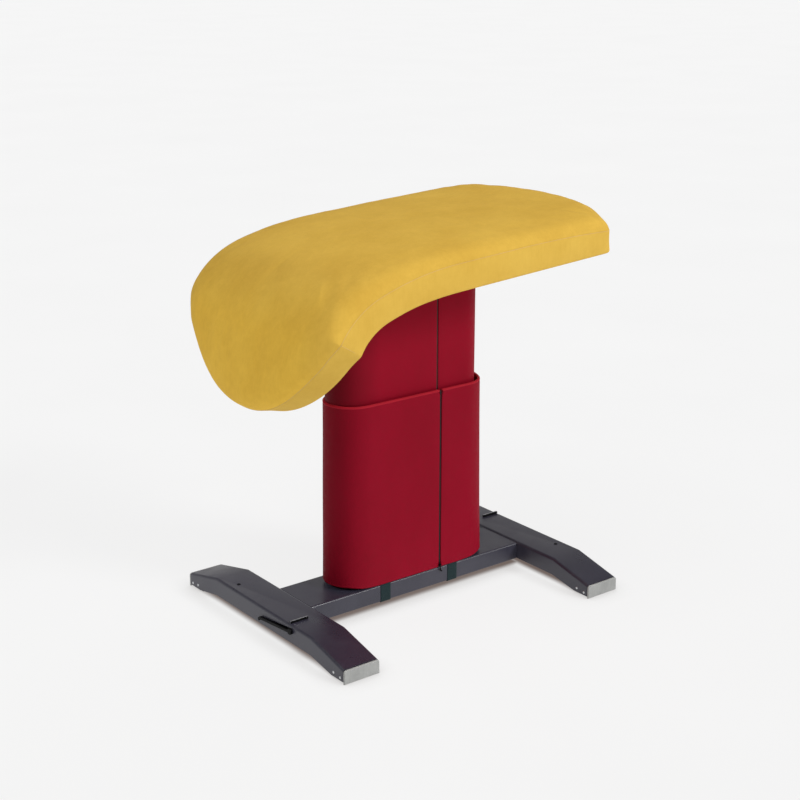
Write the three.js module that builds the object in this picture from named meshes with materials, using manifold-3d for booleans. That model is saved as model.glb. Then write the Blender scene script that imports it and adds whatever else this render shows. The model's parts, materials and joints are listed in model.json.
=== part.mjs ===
// Vaulting table for artistic gymnastics. A thick padded table top slopes down towards the run-up
// and bends over into a rounded front flap. It stands on two telescopic posts with a gas spring
// between them, inside two padded sleeves that slide one in the other, on an H-shaped steel base
// with a transport roller in each foot beam.
// Millimetres, +Z up. The run-up is at -X and the landing side at +X, and Y runs across the table.
// The floor is Z = 0 and the middle of the whole table is X = Y = 0.

import * as THREE from 'three';
import { mergeVertices } from 'three/addons/utils/BufferGeometryUtils.js';
import Module from 'manifold-3d';

const wasm = await Module();
wasm.setup();

const degrees = THREE.MathUtils.degToRad;

// Clearances
const fit_gap = 0.3;
const running_gap = 0.4;
const cut_overrun = 6;

// Table top: a plan outline bent over a curved underside
const underside_height = 1127;
const top_slope = degrees(3.8);
const pad_half_width = 404;
const back_corner_reach = 525;
const back_bulge = 131;
const back_corner_radius = 35;
const bend_start_reach = 94;
const gentle_bend_radius = 936;
const gentle_bend_end = degrees(20.2);
const tight_bend_radius = 195;
const tight_bend_end = degrees(74.7);
const flap_bend_radius = 2620;
const flap_corner_reach = 496;
const flap_tip_reach = 743;
const flap_corner_angle = degrees(43.5);
const flap_corner_pull = 187;
const flap_tip_pull = 180;

// Pad on the table shell
const seam_height = 84;
const seam_drop_at_back = 17.5;
const seam_drop_start = 150;
const seam_drop_length = 400;
const rim_inset = 75;
const rim_rise = 47;
const crown_rise = 15;
const side_draw_in = 3;
const seam_depth = 2;
const seam_half_width = 3;
const hem_radius = 6;
const hem_width = 14;
const shell_thickness = 18;
const shell_gap = 0.8;

// Head: the steel plate and packers that join the shell to the posts
const packer_thickness = 14;
const packer_length = 80;
const head_plate_half_length = 222;
const head_plate_half_width = 60;
const head_plate_thickness = 6;
const shell_bolt_reach = 200;
const shell_bolt_half_spacing = 38;
const shell_bolt_depth = 8;

// Posts
const post_spacing = 300;
const outer_post_width = 80;
const outer_post_wall = 4;
const outer_post_drop = 437;
const outer_post_top = underside_height - outer_post_drop;
const inner_post_width = 64;
const inner_post_wall = 3;
const inner_post_length = 742;
const inner_post_bottom = underside_height - inner_post_length;
const post_corner_radius = 7;
const collar_width = 92;
const collar_height = 10;
const collar_skirt = 50;
const slide_block_height = 30;
const slide_block_plug = 22;

// Gas spring
const cylinder_radius = 20;
const cylinder_wall = 3;
const cylinder_drop = 567;
const cylinder_top = underside_height - cylinder_drop;
const cylinder_gland = 18;
const cylinder_socket_depth = 14;
const cylinder_base = 8;
const spring_foot_radius = 28;
const spring_foot_height = 6;
const spring_boss_radius = 9;
const spring_boss_height = 13;
const rod_radius = 7;
const rod_drop = 65;
const rod_top = underside_height - rod_drop;
const rod_length = 662;
const piston_bottom = rod_top - rod_length;
const piston_height = 16;
const rod_nut_flats = 24;
const rod_nut_height = 8;

// Release lever
const lever_bracket_drop = 81;
const lever_bracket_bottom = underside_height - lever_bracket_drop;
const lever_bracket_half_width = 22;
const lever_bracket_wall = 4;
const lever_bracket_back = -26;
const lever_bracket_front = 40;
const valve_pin_radius = 2.5;
const valve_pin_rise = 5;
const valve_pin_bore_depth = 24;
const lever_arm = 25;
const lever_width = 26;
const lever_thickness = 6;
const lever_hub_radius = 9;
const lever_pin_radius = 4;
const lever_pin_head = 2;
const lever_nose_reach = 34;
const lever_reach = 330;
const grip_length = 105;
const grip_radius = 11;
const grip_end_wall = 12;

// Sleeves round the posts
const lower_sleeve_straight_half = 206;
const lower_sleeve_radius = 95;
const lower_sleeve_thickness = 9;
const lower_sleeve_drop = 416;
const lower_sleeve_top = underside_height - lower_sleeve_drop;
const upper_sleeve_straight_half = 211;
const upper_sleeve_radius = 77;
const upper_sleeve_thickness = 12;
const upper_sleeve_length = 582;
const upper_sleeve_bottom = underside_height - upper_sleeve_length;
const sleeve_lip_radius = 4;
const slit_place = 85;
const slit_width = 6;
const zip_inset = 4;
const zip_depth = 4;
const zip_slider_height = 14;
const zip_slider_depth = 3;
const zip_pull_length = 22;
const zip_pull_thickness = 1.5;
const lever_window_width = 46;
const lever_window_height = 84;

// Base
const foot_spacing = 1000;
const foot_length = 910;
const foot_width = 130;
const foot_top = 88;
const foot_flat_half = 276;
const foot_tip_top = 46;
const foot_wall = 4;
const foot_edge_radius = 9;
const foot_arch_height = 28;
const rubber_foot_height = 7;
const rubber_foot_length = 66;
const rubber_foot_width = 112;
const rubber_foot_chamfer = 3;
const cap_flange = 8;
const cap_floor_gap = 1;
const cap_corner_radius = 8;
const cap_plug_length = 62;
const beam_top = 84;
const beam_height = 60;
const beam_width = 186;
const beam_wall = 4;
const beam_corner_radius = 6;
const base_plate_half_length = 240;
const base_plate_half_width = 60;
const base_plate_thickness = 8;
const base_bolt_side_gap = 26;
const base_bolt_half_spacing = 46;
const anchor_hole_radius = 5;
const anchor_hole_place = 190;
const anchor_hole_offset = 30;
const strap_width = 40;
const strap_thickness = 2.5;
const strap_place = 141;

// Fasteners
const bolt_radius = 5;
const bolt_head_flats = 17;
const bolt_head_height = 7;
const bolt_shank_length = 20;
const rivet_hole_radius = 2.5;
const rivet_hole_depth = 15;
const rivet_places = [[23, 17], [57, 21]];

// Transport roller in each foot beam
const roller_pivot_place = 172;
const roller_pivot_height = 69;
const roller_shaft_radius = 6;
const roller_shaft_end_gap = 4;
const crank_length = 62;
const crank_rest_drop = degrees(28);
const crank_half_width = 9;
const crank_thickness = 5;
const roller_radius = 20;
const roller_width = 46;
const roller_axle_radius = 5;
const roller_axle_head_radius = 8;
const roller_axle_head = 1.6;
const bracket_wall = 4;
const bracket_ear_depth = 34;
const bracket_ear_bottom = 56;
const bracket_lip_height = 8;
const bracket_inset = 1.5;
const bracket_web_gap = 2;
const handle_length = 172;
const handle_half_height = 4.5;
const handle_thickness = 7;
const handle_hub_radius = 10;
const handle_drop = 17;
const handle_tip_drop = 7;
const handle_gap = 1.5;

// Facets
const arc_facets = 2;
const edge_facets = 3;
const sleeve_facets = 9;
const round_facets = 20;
const small_round_facets = 12;
const rivet_facets = 8;
const hole_facets = 5;
const back_stations = 8;
const straight_stations = 6;
const gentle_stations = 6;
const tight_stations = 10;
const flap_stations = 8;
const outline_points = 24;
const bisection_steps = 24;

// Finishes
const finish = {
  cover: { color: 0xd6ac48, roughness: 0.85, metalness: 0 },
  sleeve_cloth: { color: 0x8c1123, roughness: 0.9, metalness: 0 },
  zip: { color: 0x1b1918, roughness: 0.6, metalness: 0 },
  webbing: { color: 0x04302f, roughness: 0.85, metalness: 0 },
  frame_paint: { color: 0x4b4a4e, roughness: 0.45, metalness: 0.4 },
  cap_plastic: { color: 0xa7a9a6, roughness: 0.6, metalness: 0 },
  rubber: { color: 0x1d1d1e, roughness: 0.9, metalness: 0 },
  zinc: { color: 0xb9bbbd, roughness: 0.35, metalness: 0.9 },
  bright_steel: { color: 0xc2c5c8, roughness: 0.22, metalness: 1 },
  black_paint: { color: 0x131315, roughness: 0.4, metalness: 0.3 },
  guide_plastic: { color: 0x26272a, roughness: 0.5, metalness: 0 },
  shell_wood: { color: 0xb38a58, roughness: 0.6, metalness: 0 },
  roller_plastic: { color: 0x34363a, roughness: 0.5, metalness: 0 },
};
for (const slot of Object.keys(finish)) {
  finish[slot] = new THREE.MeshStandardMaterial({ name: slot, ...finish[slot] });
}

// Turns a closed geometry inside out where its faces point inwards
function outward(geometry) {
  const index = geometry.index.array;
  const place = geometry.attributes.position;
  const [a, b, c] = [new THREE.Vector3(), new THREE.Vector3(), new THREE.Vector3()];
  let volume = 0;
  for (let k = 0; k < index.length; k += 3) {
    a.fromBufferAttribute(place, index[k]);
    b.fromBufferAttribute(place, index[k + 1]);
    c.fromBufferAttribute(place, index[k + 2]);
    volume += a.dot(b.cross(c));
  }
  if (volume < 0) {
    for (let k = 0; k < index.length; k += 3) {
      [index[k + 1], index[k + 2]] = [index[k + 2], index[k + 1]];
    }
  }
  return geometry;
}

// Leaves only merged positions, so that faces share their vertices
function bare(geometry) {
  const copy = geometry.clone();
  for (const name of Object.keys(copy.attributes)) {
    if (name !== 'position') copy.deleteAttribute(name);
  }
  return outward(mergeVertices(copy));
}

function toSolid(geometry) {
  const clean = bare(geometry);
  const vertProperties = new Float32Array(clean.attributes.position.array);
  const triVerts = new Uint32Array(clean.index.array);
  return new wasm.Manifold(new wasm.Mesh({ numProp: 3, vertProperties, triVerts }));
}

function toGeometry(solid) {
  const mesh = solid.getMesh();
  const geometry = new THREE.BufferGeometry();
  geometry.setAttribute('position', new THREE.Float32BufferAttribute(mesh.vertProperties, 3));
  geometry.setIndex(new THREE.Uint32BufferAttribute(mesh.triVerts, 1));
  return geometry;
}

function joined(...geometries) {
  return toGeometry(geometries.map(toSolid).reduce((whole, next) => whole.add(next)));
}

function cut(geometry, ...cutters) {
  return toGeometry(cutters.reduce((whole, next) => whole.subtract(toSolid(next)), toSolid(geometry)));
}

function moved(geometry, x, y, z) {
  return geometry.clone().translate(x, y, z);
}

// A box between two corners
function block(low, high) {
  const size = high.map((value, k) => value - low[k]);
  const middle = high.map((value, k) => (value + low[k]) / 2);
  return new THREE.BoxGeometry(...size).translate(...middle);
}

// A round bar along one axis, between two places on it
function bar(axis, radius, from, to, facets = small_round_facets) {
  const geometry = new THREE.CylinderGeometry(radius, radius, to - from, facets);
  if (axis === 'x') geometry.rotateZ(-Math.PI / 2);
  if (axis === 'z') geometry.rotateX(Math.PI / 2);
  const middle = (from + to) / 2;
  return geometry.translate(...['x', 'y', 'z'].map((name) => (name === axis ? middle : 0)));
}

// A body turned about Z from [radius, height] pairs
function turnedBody(profile, facets = round_facets) {
  const points = profile.map(([radius, height]) => new THREE.Vector2(radius, height));
  return new THREE.LatheGeometry(points, facets).rotateX(Math.PI / 2);
}

// A rectangle with rounded corners, centred, as a shape or a hole
function roundedRectangle(width, depth, radius, Kind = THREE.Shape) {
  const [x, y] = [width / 2, depth / 2];
  const outline = new Kind();
  outline.moveTo(x, radius - y);
  outline.absarc(x - radius, y - radius, radius, 0, Math.PI / 2);
  outline.absarc(radius - x, y - radius, radius, Math.PI / 2, Math.PI);
  outline.absarc(radius - x, radius - y, radius, Math.PI, 3 * Math.PI / 2);
  outline.absarc(x - radius, radius - y, radius, -Math.PI / 2, 0);
  return outline;
}

function raised(shape, from, to, curveSegments = arc_facets) {
  const options = { depth: to - from, bevelEnabled: false, curveSegments };
  return new THREE.ExtrudeGeometry(shape, options).translate(0, 0, from);
}

// A plate whose edges are rounded or chamfered all round by the same amount
function softPlate(shape, from, to, edge, bevelSegments = 1) {
  const options = {
    depth: to - from - 2 * edge,
    bevelThickness: edge,
    bevelSize: edge,
    bevelOffset: -edge,
    bevelSegments,
    curveSegments: arc_facets,
  };
  return new THREE.ExtrudeGeometry(shape, options).translate(0, 0, from + edge);
}

// A polygon drawn in the YZ plane and carried along X
function acrossX(points, from, to) {
  const shape = new THREE.Shape(points.map(([y, z]) => new THREE.Vector2(y, z)));
  const geometry = new THREE.ExtrudeGeometry(shape, { depth: to - from, bevelEnabled: false });
  return geometry.rotateY(Math.PI / 2).rotateX(Math.PI / 2).translate(from, 0, 0);
}

// A skin through outlines with the same number of points, closed by a face at each end
function loft(stations, place) {
  const count = stations[0].outline.length;
  const positions = [];
  for (const { at, outline } of stations) {
    for (const point of outline) positions.push(...place(at, point.x, point.y));
  }
  const index = [];
  for (let row = 0; row < stations.length - 1; row += 1) {
    for (let k = 0; k < count; k += 1) {
      const a = row * count + k;
      const b = row * count + (k + 1) % count;
      index.push(a, b, b + count, a, b + count, a + count);
    }
  }
  for (const row of [0, stations.length - 1]) {
    const { outline } = stations[row];
    for (const [a, b, c] of THREE.ShapeUtils.triangulateShape(outline, [])) {
      const turn = outline[b].clone().sub(outline[a]).cross(outline[c].clone().sub(outline[a]));
      const [second, third] = (turn > 0) === (row === 0) ? [c, b] : [b, c];
      index.push(row * count + a, row * count + second, row * count + third);
    }
  }
  const geometry = new THREE.BufferGeometry();
  geometry.setAttribute('position', new THREE.Float32BufferAttribute(positions, 3));
  geometry.setIndex(index);
  return outward(geometry);
}

const table = new THREE.Group();

function add(name, geometry, slot, parent = table) {
  const mesh = new THREE.Mesh(geometry, finish[slot]);
  mesh.name = name;
  parent.add(mesh);
  return mesh;
}

// Table top: the bent underside
// A reach is a length along the underside from over the column's middle, positive to the front
const gentle_length = gentle_bend_radius * (gentle_bend_end - top_slope);
const tight_length = tight_bend_radius * (tight_bend_end - gentle_bend_end);
const tight_start = bend_start_reach + gentle_length;
const flap_start = tight_start + tight_length;
const bends = [
  { from: bend_start_reach, to: tight_start, radius: gentle_bend_radius },
  { from: tight_start, to: flap_start, radius: tight_bend_radius },
  { from: flap_start, to: Infinity, radius: flap_bend_radius },
];

// The point and slope of the underside at a reach
function underside(reach) {
  const straight = Math.min(reach, bend_start_reach);
  let x = -straight * Math.cos(top_slope);
  let z = underside_height - straight * Math.sin(top_slope);
  let slope = top_slope;
  for (const bend of bends) {
    if (reach > bend.from) {
      const end = slope + (Math.min(reach, bend.to) - bend.from) / bend.radius;
      x -= bend.radius * (Math.sin(end) - Math.sin(slope));
      z += bend.radius * (Math.cos(end) - Math.cos(slope));
      slope = end;
    }
  }
  return { x, z, slope };
}

// A place in the table top from its reach, its side and its height over the underside
function onTable(reach, side, height) {
  const { x, z, slope } = underside(reach);
  return [x - Math.sin(slope) * height, side, z + Math.cos(slope) * height];
}

// Half of the plan outline, from the back tip round one side to the flap's tip
const back_radius = (pad_half_width ** 2 + back_bulge ** 2) / (2 * back_bulge);
const back_centre = -(back_corner_reach + back_bulge) + back_radius;
const corner_side = pad_half_width - back_corner_radius;
const corner_reach = back_centre - Math.sqrt((back_radius - back_corner_radius) ** 2 - corner_side ** 2);
const corner_turn = Math.atan2(corner_side, back_centre - corner_reach);
const edge = new THREE.Path();
edge.absarc(back_centre, 0, back_radius, Math.PI, Math.PI - corner_turn, true);
edge.absarc(corner_reach, corner_side, back_corner_radius, Math.PI - corner_turn, Math.PI / 2, true);
edge.lineTo(flap_corner_reach, pad_half_width);
edge.bezierCurveTo(
  flap_corner_reach + flap_corner_pull * Math.cos(flap_corner_angle),
  pad_half_width - flap_corner_pull * Math.sin(flap_corner_angle),
  flap_tip_reach, flap_tip_pull, flap_tip_reach, 0,
);
const edge_line = edge.getPoints(outline_points);
const back_tip_reach = edge_line[0].x;

function distanceToEdge(point) {
  const nearest = new THREE.Vector3();
  const target = new THREE.Vector3(point.x, point.y, 0);
  let least = Infinity;
  for (let k = 1; k < edge_line.length; k += 1) {
    const [from, to] = [edge_line[k - 1], edge_line[k]];
    const ends = [from, to].map((end) => new THREE.Vector3(end.x, end.y, 0));
    new THREE.Line3(...ends).closestPointToPoint(target, true, nearest);
    least = Math.min(least, nearest.distanceTo(target));
  }
  return least;
}

// Half the width of the outline at a reach, with the outline drawn in by an inset
function halfWidth(reach, inset) {
  const next = Math.max(1, edge_line.findIndex((point) => point.x >= reach));
  const [from, to] = [edge_line[next - 1], edge_line[next]];
  const full = THREE.MathUtils.mapLinear(reach, from.x, to.x, from.y, to.y);
  if (inset === 0) return full;
  let [low, high] = [0, full];
  for (let step = 0; step < bisection_steps; step += 1) {
    const middle = (low + high) / 2;
    if (distanceToEdge(new THREE.Vector2(reach, middle)) >= inset) low = middle;
    else high = middle;
  }
  return low;
}

// Reaches of the cross sections, close together in the bends and towards both tips
function reaches(inset) {
  const list = [];
  const first = back_tip_reach + inset;
  const last = flap_tip_reach - inset;
  const tip_share = 0.12;
  for (let k = 0; k < back_stations; k += 1) {
    const turn = THREE.MathUtils.lerp(tip_share, 1, k / back_stations) * Math.PI / 2;
    list.push(THREE.MathUtils.lerp(corner_reach, first, Math.cos(turn)));
  }
  const stretches = [
    [corner_reach, bend_start_reach, straight_stations],
    [bends[0].from, bends[0].to, gentle_stations],
    [bends[1].from, flap_corner_reach, tight_stations],
  ];
  for (const [from, to, steps] of stretches) {
    for (let k = 0; k < steps; k += 1) list.push(THREE.MathUtils.lerp(from, to, k / steps));
  }
  for (let k = 0; k < flap_stations; k += 1) {
    const turn = THREE.MathUtils.lerp(0, 1 - tip_share, k / (flap_stations - 1)) * Math.PI / 2;
    list.push(THREE.MathUtils.lerp(flap_corner_reach, last, Math.sin(turn)));
  }
  return list;
}

function seamHeight(reach) {
  const back_share = THREE.MathUtils.clamp((-reach - seam_drop_start) / seam_drop_length, 0, 1);
  return seam_height - seam_drop_at_back * back_share ** 2;
}

// Height of the pad's top over the underside: a rounded rim and then a low crown
function padHeight(reach, side) {
  const inset = distanceToEdge(new THREE.Vector2(reach, side));
  const rim_share = Math.min(inset / rim_inset, 1);
  const crown_share = Math.max(0, (inset - rim_inset) / (pad_half_width - rim_inset));
  const rim = rim_rise * Math.sqrt(1 - (1 - rim_share) ** 2);
  return seamHeight(reach) + rim + crown_rise * (1 - (1 - crown_share) ** 2);
}

// The pad's cross section: drawn-in sides with a seam, a rounded rim and a crowned top
const pad_top_shares = [0.99, 0.96, 0.91, 0.82, 0.6, 0.3];
const pad_base_share = 0.5;

function padSection(reach) {
  const width = halfWidth(reach, 0);
  const seam = seamHeight(reach);
  const half = [
    [width * pad_base_share, 0],
    [width - hem_radius, 0],
    [width, hem_radius],
    [width - side_draw_in, (seam + hem_radius) / 2],
    [width, seam - seam_half_width],
    [width - seam_depth, seam],
    ...pad_top_shares.map((share) => [width * share, padHeight(reach, width * share) + seam_half_width / 2]),
  ];
  const middle = [0, padHeight(reach, 0) + seam_half_width / 2];
  const other = half.map(([side, height]) => [-side, height]).reverse();
  return [...half, middle, ...other].map(([side, height]) => new THREE.Vector2(side, height));
}

function padBody() {
  return loft(reaches(0).map((at) => ({ at, outline: padSection(at) })), onTable);
}

// A bent sheet that follows the underside, between two heights over it
const sheet_shares = [-1, -0.5, 0, 0.5, 1];

function bentSheet(inset, low, high) {
  const stations = reaches(inset).map((at) => {
    const width = halfWidth(at, inset);
    const bottom = sheet_shares.map((share) => new THREE.Vector2(width * share, low));
    const top = sheet_shares.map((share) => new THREE.Vector2(-width * share, high));
    return { at, outline: [...bottom, ...top] };
  });
  return loft(stations, onTable);
}

const recess = bentSheet(hem_width, -cut_overrun, shell_thickness + shell_gap);
add('table_pad', cut(padBody(), recess), 'cover');

// Head: everything here sits on planes that follow the slope over the column
const slope_rise = Math.tan(top_slope);

// Lifts the top of an upright piece to a plane parallel to the straight part of the underside
function mitred(geometry, depth) {
  const place = geometry.attributes.position;
  geometry.computeBoundingBox();
  const top = geometry.boundingBox.max.z;
  const plane = underside_height - depth / Math.cos(top_slope);
  for (let k = 0; k < place.count; k += 1) {
    if (Math.abs(place.getZ(k) - top) < fit_gap) place.setZ(k, plane + place.getX(k) * slope_rise);
  }
  return geometry;
}

// A plate square to the slope, between two depths under the straight part of the underside
function slopedPlate(shape, depth_top, depth_bottom) {
  const plate = raised(shape, -depth_bottom, -depth_top, hole_facets);
  return plate.rotateY(-top_slope).translate(0, 0, underside_height);
}

function roundHole(x, y, radius) {
  const hole = new THREE.Path();
  hole.absarc(x, y, radius, 0, 2 * Math.PI);
  return hole;
}

// The four corners of a rectangle round the column, with a name for each
function corners(x, y) {
  return {
    front_left: [-x, y],
    front_right: [-x, -y],
    rear_left: [x, y],
    rear_right: [x, -y],
  };
}

const shell_bolt_corners = corners(shell_bolt_reach, shell_bolt_half_spacing);
const shell_bolt_places = Object.values(shell_bolt_corners);
const bolt_hole_radius = bolt_radius + running_gap;
const plate_depth = packer_thickness + head_plate_thickness;

function headPlate() {
  const shape = roundedRectangle(2 * head_plate_half_length, 2 * head_plate_half_width, post_corner_radius);
  shape.holes = shell_bolt_places.map(([x, y]) => roundHole(x, y, bolt_hole_radius));
  return slopedPlate(shape, packer_thickness, plate_depth);
}

// Everything above the underside, less a gap, over the sleeve's and packers' length
function aboveUnderside(gap, top) {
  const reach_end = lower_sleeve_straight_half + lower_sleeve_radius;
  const steps = 2 * gentle_stations;
  const points = [];
  for (let k = 0; k <= steps; k += 1) {
    const [x, , z] = onTable(THREE.MathUtils.lerp(-reach_end, reach_end, k / steps), 0, -gap);
    points.push([x, z]);
  }
  points.push([points.at(-1)[0], top], [points[0][0], top]);
  const shape = new THREE.Shape(points.map(([x, z]) => new THREE.Vector2(x, z)));
  const depth = 2 * lower_sleeve_radius;
  const geometry = new THREE.ExtrudeGeometry(shape, { depth, bevelEnabled: false });
  return geometry.rotateX(Math.PI / 2).translate(0, depth / 2, 0);
}

const above_shell = aboveUnderside(2 * fit_gap, underside_height + lower_sleeve_top);

function packer(end) {
  const outer = head_plate_half_length;
  const shape = roundedRectangle(packer_length, 2 * head_plate_half_width, post_corner_radius);
  const middle = end * (outer - packer_length / 2);
  const whole = raised(shape, fit_gap - packer_thickness, cut_overrun).translate(middle, 0, 0);
  const placed = whole.rotateY(-top_slope).translate(0, 0, underside_height);
  const holes = shell_bolt_places.filter(([x]) => x * end > 0).map(([x, y]) => {
    const hole = bar('z', bolt_hole_radius, -packer_thickness - cut_overrun, 2 * cut_overrun);
    return hole.translate(x, y, 0).rotateY(-top_slope).translate(0, 0, underside_height);
  });
  return cut(placed, above_shell, ...holes);
}

// A hexagon bolt with its head below and its shank pointing up
function hexBolt(shank_length) {
  const corner_radius = bolt_head_flats / 2 / Math.cos(Math.PI / 6);
  const head = bar('z', corner_radius, -bolt_head_height, 0, 6);
  return joined(head, bar('z', bolt_radius, -fit_gap, shank_length));
}

function shellBolt([x, y]) {
  const bolt = moved(hexBolt(plate_depth + shell_bolt_depth), x, y, -plate_depth - fit_gap);
  return bolt.rotateY(-top_slope).translate(0, 0, underside_height);
}

function tableShell() {
  const holes = shell_bolt_places.map(([x, y]) => {
    const hole = bar('z', bolt_hole_radius, -packer_thickness, shell_bolt_depth + 2 * fit_gap);
    return hole.translate(x, y, 0).rotateY(-top_slope).translate(0, 0, underside_height);
  });
  return cut(bentSheet(hem_width + shell_gap, 0, shell_thickness), ...holes);
}

add('table_shell', tableShell(), 'shell_wood');
add('head_plate', headPlate(), 'frame_paint');
add('front_packer', packer(-1), 'rubber');
add('rear_packer', packer(1), 'rubber');
for (const [corner, place] of Object.entries(shell_bolt_corners)) {
  add(`shell_bolt_${corner}`, shellBolt(place), 'zinc');
}

// Posts
const plate_top = beam_top + fit_gap + base_plate_thickness;
const post_bottom = plate_top + fit_gap;
const post_places = { front: -post_spacing / 2, rear: post_spacing / 2 };
const outer_post_bore = outer_post_width - 2 * outer_post_wall;
const inner_post_bore = inner_post_width - 2 * inner_post_wall;

function squareTube(width, bore, radius, bottom, top) {
  const shape = roundedRectangle(width, width, radius);
  const bore_radius = radius - (width - bore) / 2 + 2 * fit_gap;
  shape.holes.push(roundedRectangle(bore, bore, bore_radius, THREE.Path));
  return raised(shape, bottom, top);
}

function guideCollar() {
  const bore = inner_post_width + 2 * running_gap;
  const flange_bottom = outer_post_top + fit_gap;
  const flange_top = flange_bottom + collar_height;
  const skirt_bottom = outer_post_top - collar_skirt;
  const skirt = outer_post_bore - 2 * fit_gap;
  const flange_shape = roundedRectangle(collar_width, collar_width, post_corner_radius);
  const skirt_shape = roundedRectangle(skirt, skirt, post_corner_radius - outer_post_wall + fit_gap);
  const body = joined(
    softPlate(flange_shape, flange_bottom, flange_top, collar_height / 8),
    raised(skirt_shape, skirt_bottom, (flange_bottom + flange_top) / 2),
  );
  const bore_shape = roundedRectangle(bore, bore, post_corner_radius + running_gap);
  return cut(body, raised(bore_shape, skirt_bottom - cut_overrun, flange_top + cut_overrun));
}

function slideBlock() {
  const block_width = outer_post_bore - 2 * running_gap;
  const plug_width = inner_post_bore - 2 * fit_gap;
  const top = inner_post_bottom - fit_gap;
  const block_corner = post_corner_radius - outer_post_wall + running_gap;
  const plug_corner = post_corner_radius - inner_post_wall + 2 * fit_gap;
  const block_shape = roundedRectangle(block_width, block_width, block_corner);
  const plug_shape = roundedRectangle(plug_width, plug_width, plug_corner);
  return joined(
    softPlate(block_shape, top - slide_block_height, top, slide_block_height / 30),
    raised(plug_shape, top - slide_block_height / 2, top + slide_block_plug),
  );
}

function outerPost() {
  return squareTube(outer_post_width, outer_post_bore, post_corner_radius, post_bottom, outer_post_top);
}

function innerPost() {
  const tube = [inner_post_width, inner_post_bore, post_corner_radius];
  return squareTube(...tube, inner_post_bottom, underside_height);
}

for (const [end, x] of Object.entries(post_places)) {
  const [outer, inner] = [outerPost(), innerPost()];
  add(`outer_post_${end}`, moved(outer, x, 0, 0), 'frame_paint');
  add(`inner_post_${end}`, mitred(moved(inner, x, 0, 0), plate_depth + fit_gap), 'bright_steel');
  add(`guide_collar_${end}`, moved(guideCollar(), x, 0, 0), 'guide_plastic');
  add(`slide_block_${end}`, moved(slideBlock(), x, 0, 0), 'guide_plastic');
}

// Gas spring between the posts
const spring_foot_top = plate_top + fit_gap + spring_foot_height;
const cylinder_bottom = spring_foot_top + fit_gap;
const socket_radius = spring_boss_radius + fit_gap;
const cylinder_bore = cylinder_radius - cylinder_wall;
const rod_bore = rod_radius + running_gap;
const chamber_floor = cylinder_bottom + cylinder_socket_depth + cylinder_base;

add('gas_spring_foot', turnedBody([
  [0, plate_top + fit_gap],
  [spring_foot_radius, plate_top + fit_gap],
  [spring_foot_radius, spring_foot_top],
  [spring_boss_radius, spring_foot_top],
  [spring_boss_radius, spring_foot_top + spring_boss_height],
  [0, spring_foot_top + spring_boss_height],
]), 'zinc');

add('gas_spring_cylinder', turnedBody([
  [0, cylinder_bottom + cylinder_socket_depth],
  [socket_radius, cylinder_bottom + cylinder_socket_depth],
  [socket_radius, cylinder_bottom],
  [cylinder_radius, cylinder_bottom],
  [cylinder_radius, cylinder_top],
  [rod_bore, cylinder_top],
  [rod_bore, cylinder_top - cylinder_gland],
  [cylinder_bore, cylinder_top - cylinder_gland],
  [cylinder_bore, chamber_floor],
  [0, chamber_floor],
]), 'black_paint');

const valve_bore = valve_pin_radius + running_gap;
const valve_pin_bottom = rod_top - valve_pin_bore_depth + lever_thickness;
const valve_pin_top = rod_top + valve_pin_rise;

add('gas_spring_rod', turnedBody([
  [0, piston_bottom],
  [cylinder_bore - running_gap, piston_bottom],
  [cylinder_bore - running_gap, piston_bottom + piston_height],
  [rod_radius, piston_bottom + piston_height],
  [rod_radius, rod_top],
  [valve_bore, rod_top],
  [valve_bore, rod_top - valve_pin_bore_depth],
  [0, rod_top - valve_pin_bore_depth],
]), 'bright_steel');

add('valve_pin', bar('z', valve_pin_radius, valve_pin_bottom, valve_pin_top), 'zinc');

function hexNut(bottom) {
  const corner_radius = rod_nut_flats / 2 / Math.cos(Math.PI / 6);
  const top = bottom + rod_nut_height;
  const blank = bar('z', corner_radius, bottom, top, 6);
  return cut(blank, bar('z', rod_radius + fit_gap, bottom - cut_overrun, top + cut_overrun));
}

const bracket_floor_top = lever_bracket_bottom + lever_bracket_wall;
add('rod_nut_lower', hexNut(lever_bracket_bottom - fit_gap - rod_nut_height), 'zinc');
add('rod_nut_upper', hexNut(bracket_floor_top + fit_gap), 'zinc');

// Release lever under the table: its nose presses the valve pin when the grip is lifted
const lever_bottom = valve_pin_top + running_gap;
const lever_top = lever_bottom + lever_thickness;
const lever_pivot_height = (lever_bottom + lever_top) / 2;

function leverBracket() {
  const half = lever_bracket_half_width;
  const wall = lever_bracket_wall;
  const low = [-half, lever_bracket_back, lever_bracket_bottom];
  const high = [half, lever_bracket_front, underside_height - plate_depth];
  const whole = mitred(block(low, high), plate_depth + fit_gap);
  const room = block(
    [wall - half, lever_bracket_back - cut_overrun, bracket_floor_top],
    [half - wall, lever_bracket_front + cut_overrun, underside_height + cut_overrun],
  );
  const hole_bottom = lever_bracket_bottom - cut_overrun;
  const rod_hole = bar('z', rod_radius + fit_gap, hole_bottom, bracket_floor_top + cut_overrun);
  const pin_hole = bar('x', lever_pin_radius + fit_gap, -half - cut_overrun, half + cut_overrun);
  return cut(whole, room, rod_hole, moved(pin_hole, 0, lever_arm, lever_pivot_height));
}

function leverPin() {
  const end = lever_bracket_half_width + fit_gap;
  const head = bar('x', lever_pin_radius * 2, end, end + lever_pin_head);
  const other_head = moved(head, -2 * end - lever_pin_head, 0, 0);
  const shank_end = end + lever_pin_head / 2;
  const pin = joined(head, other_head, bar('x', lever_pin_radius, -shank_end, shank_end));
  return moved(pin, 0, lever_arm, lever_pivot_height);
}

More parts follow.
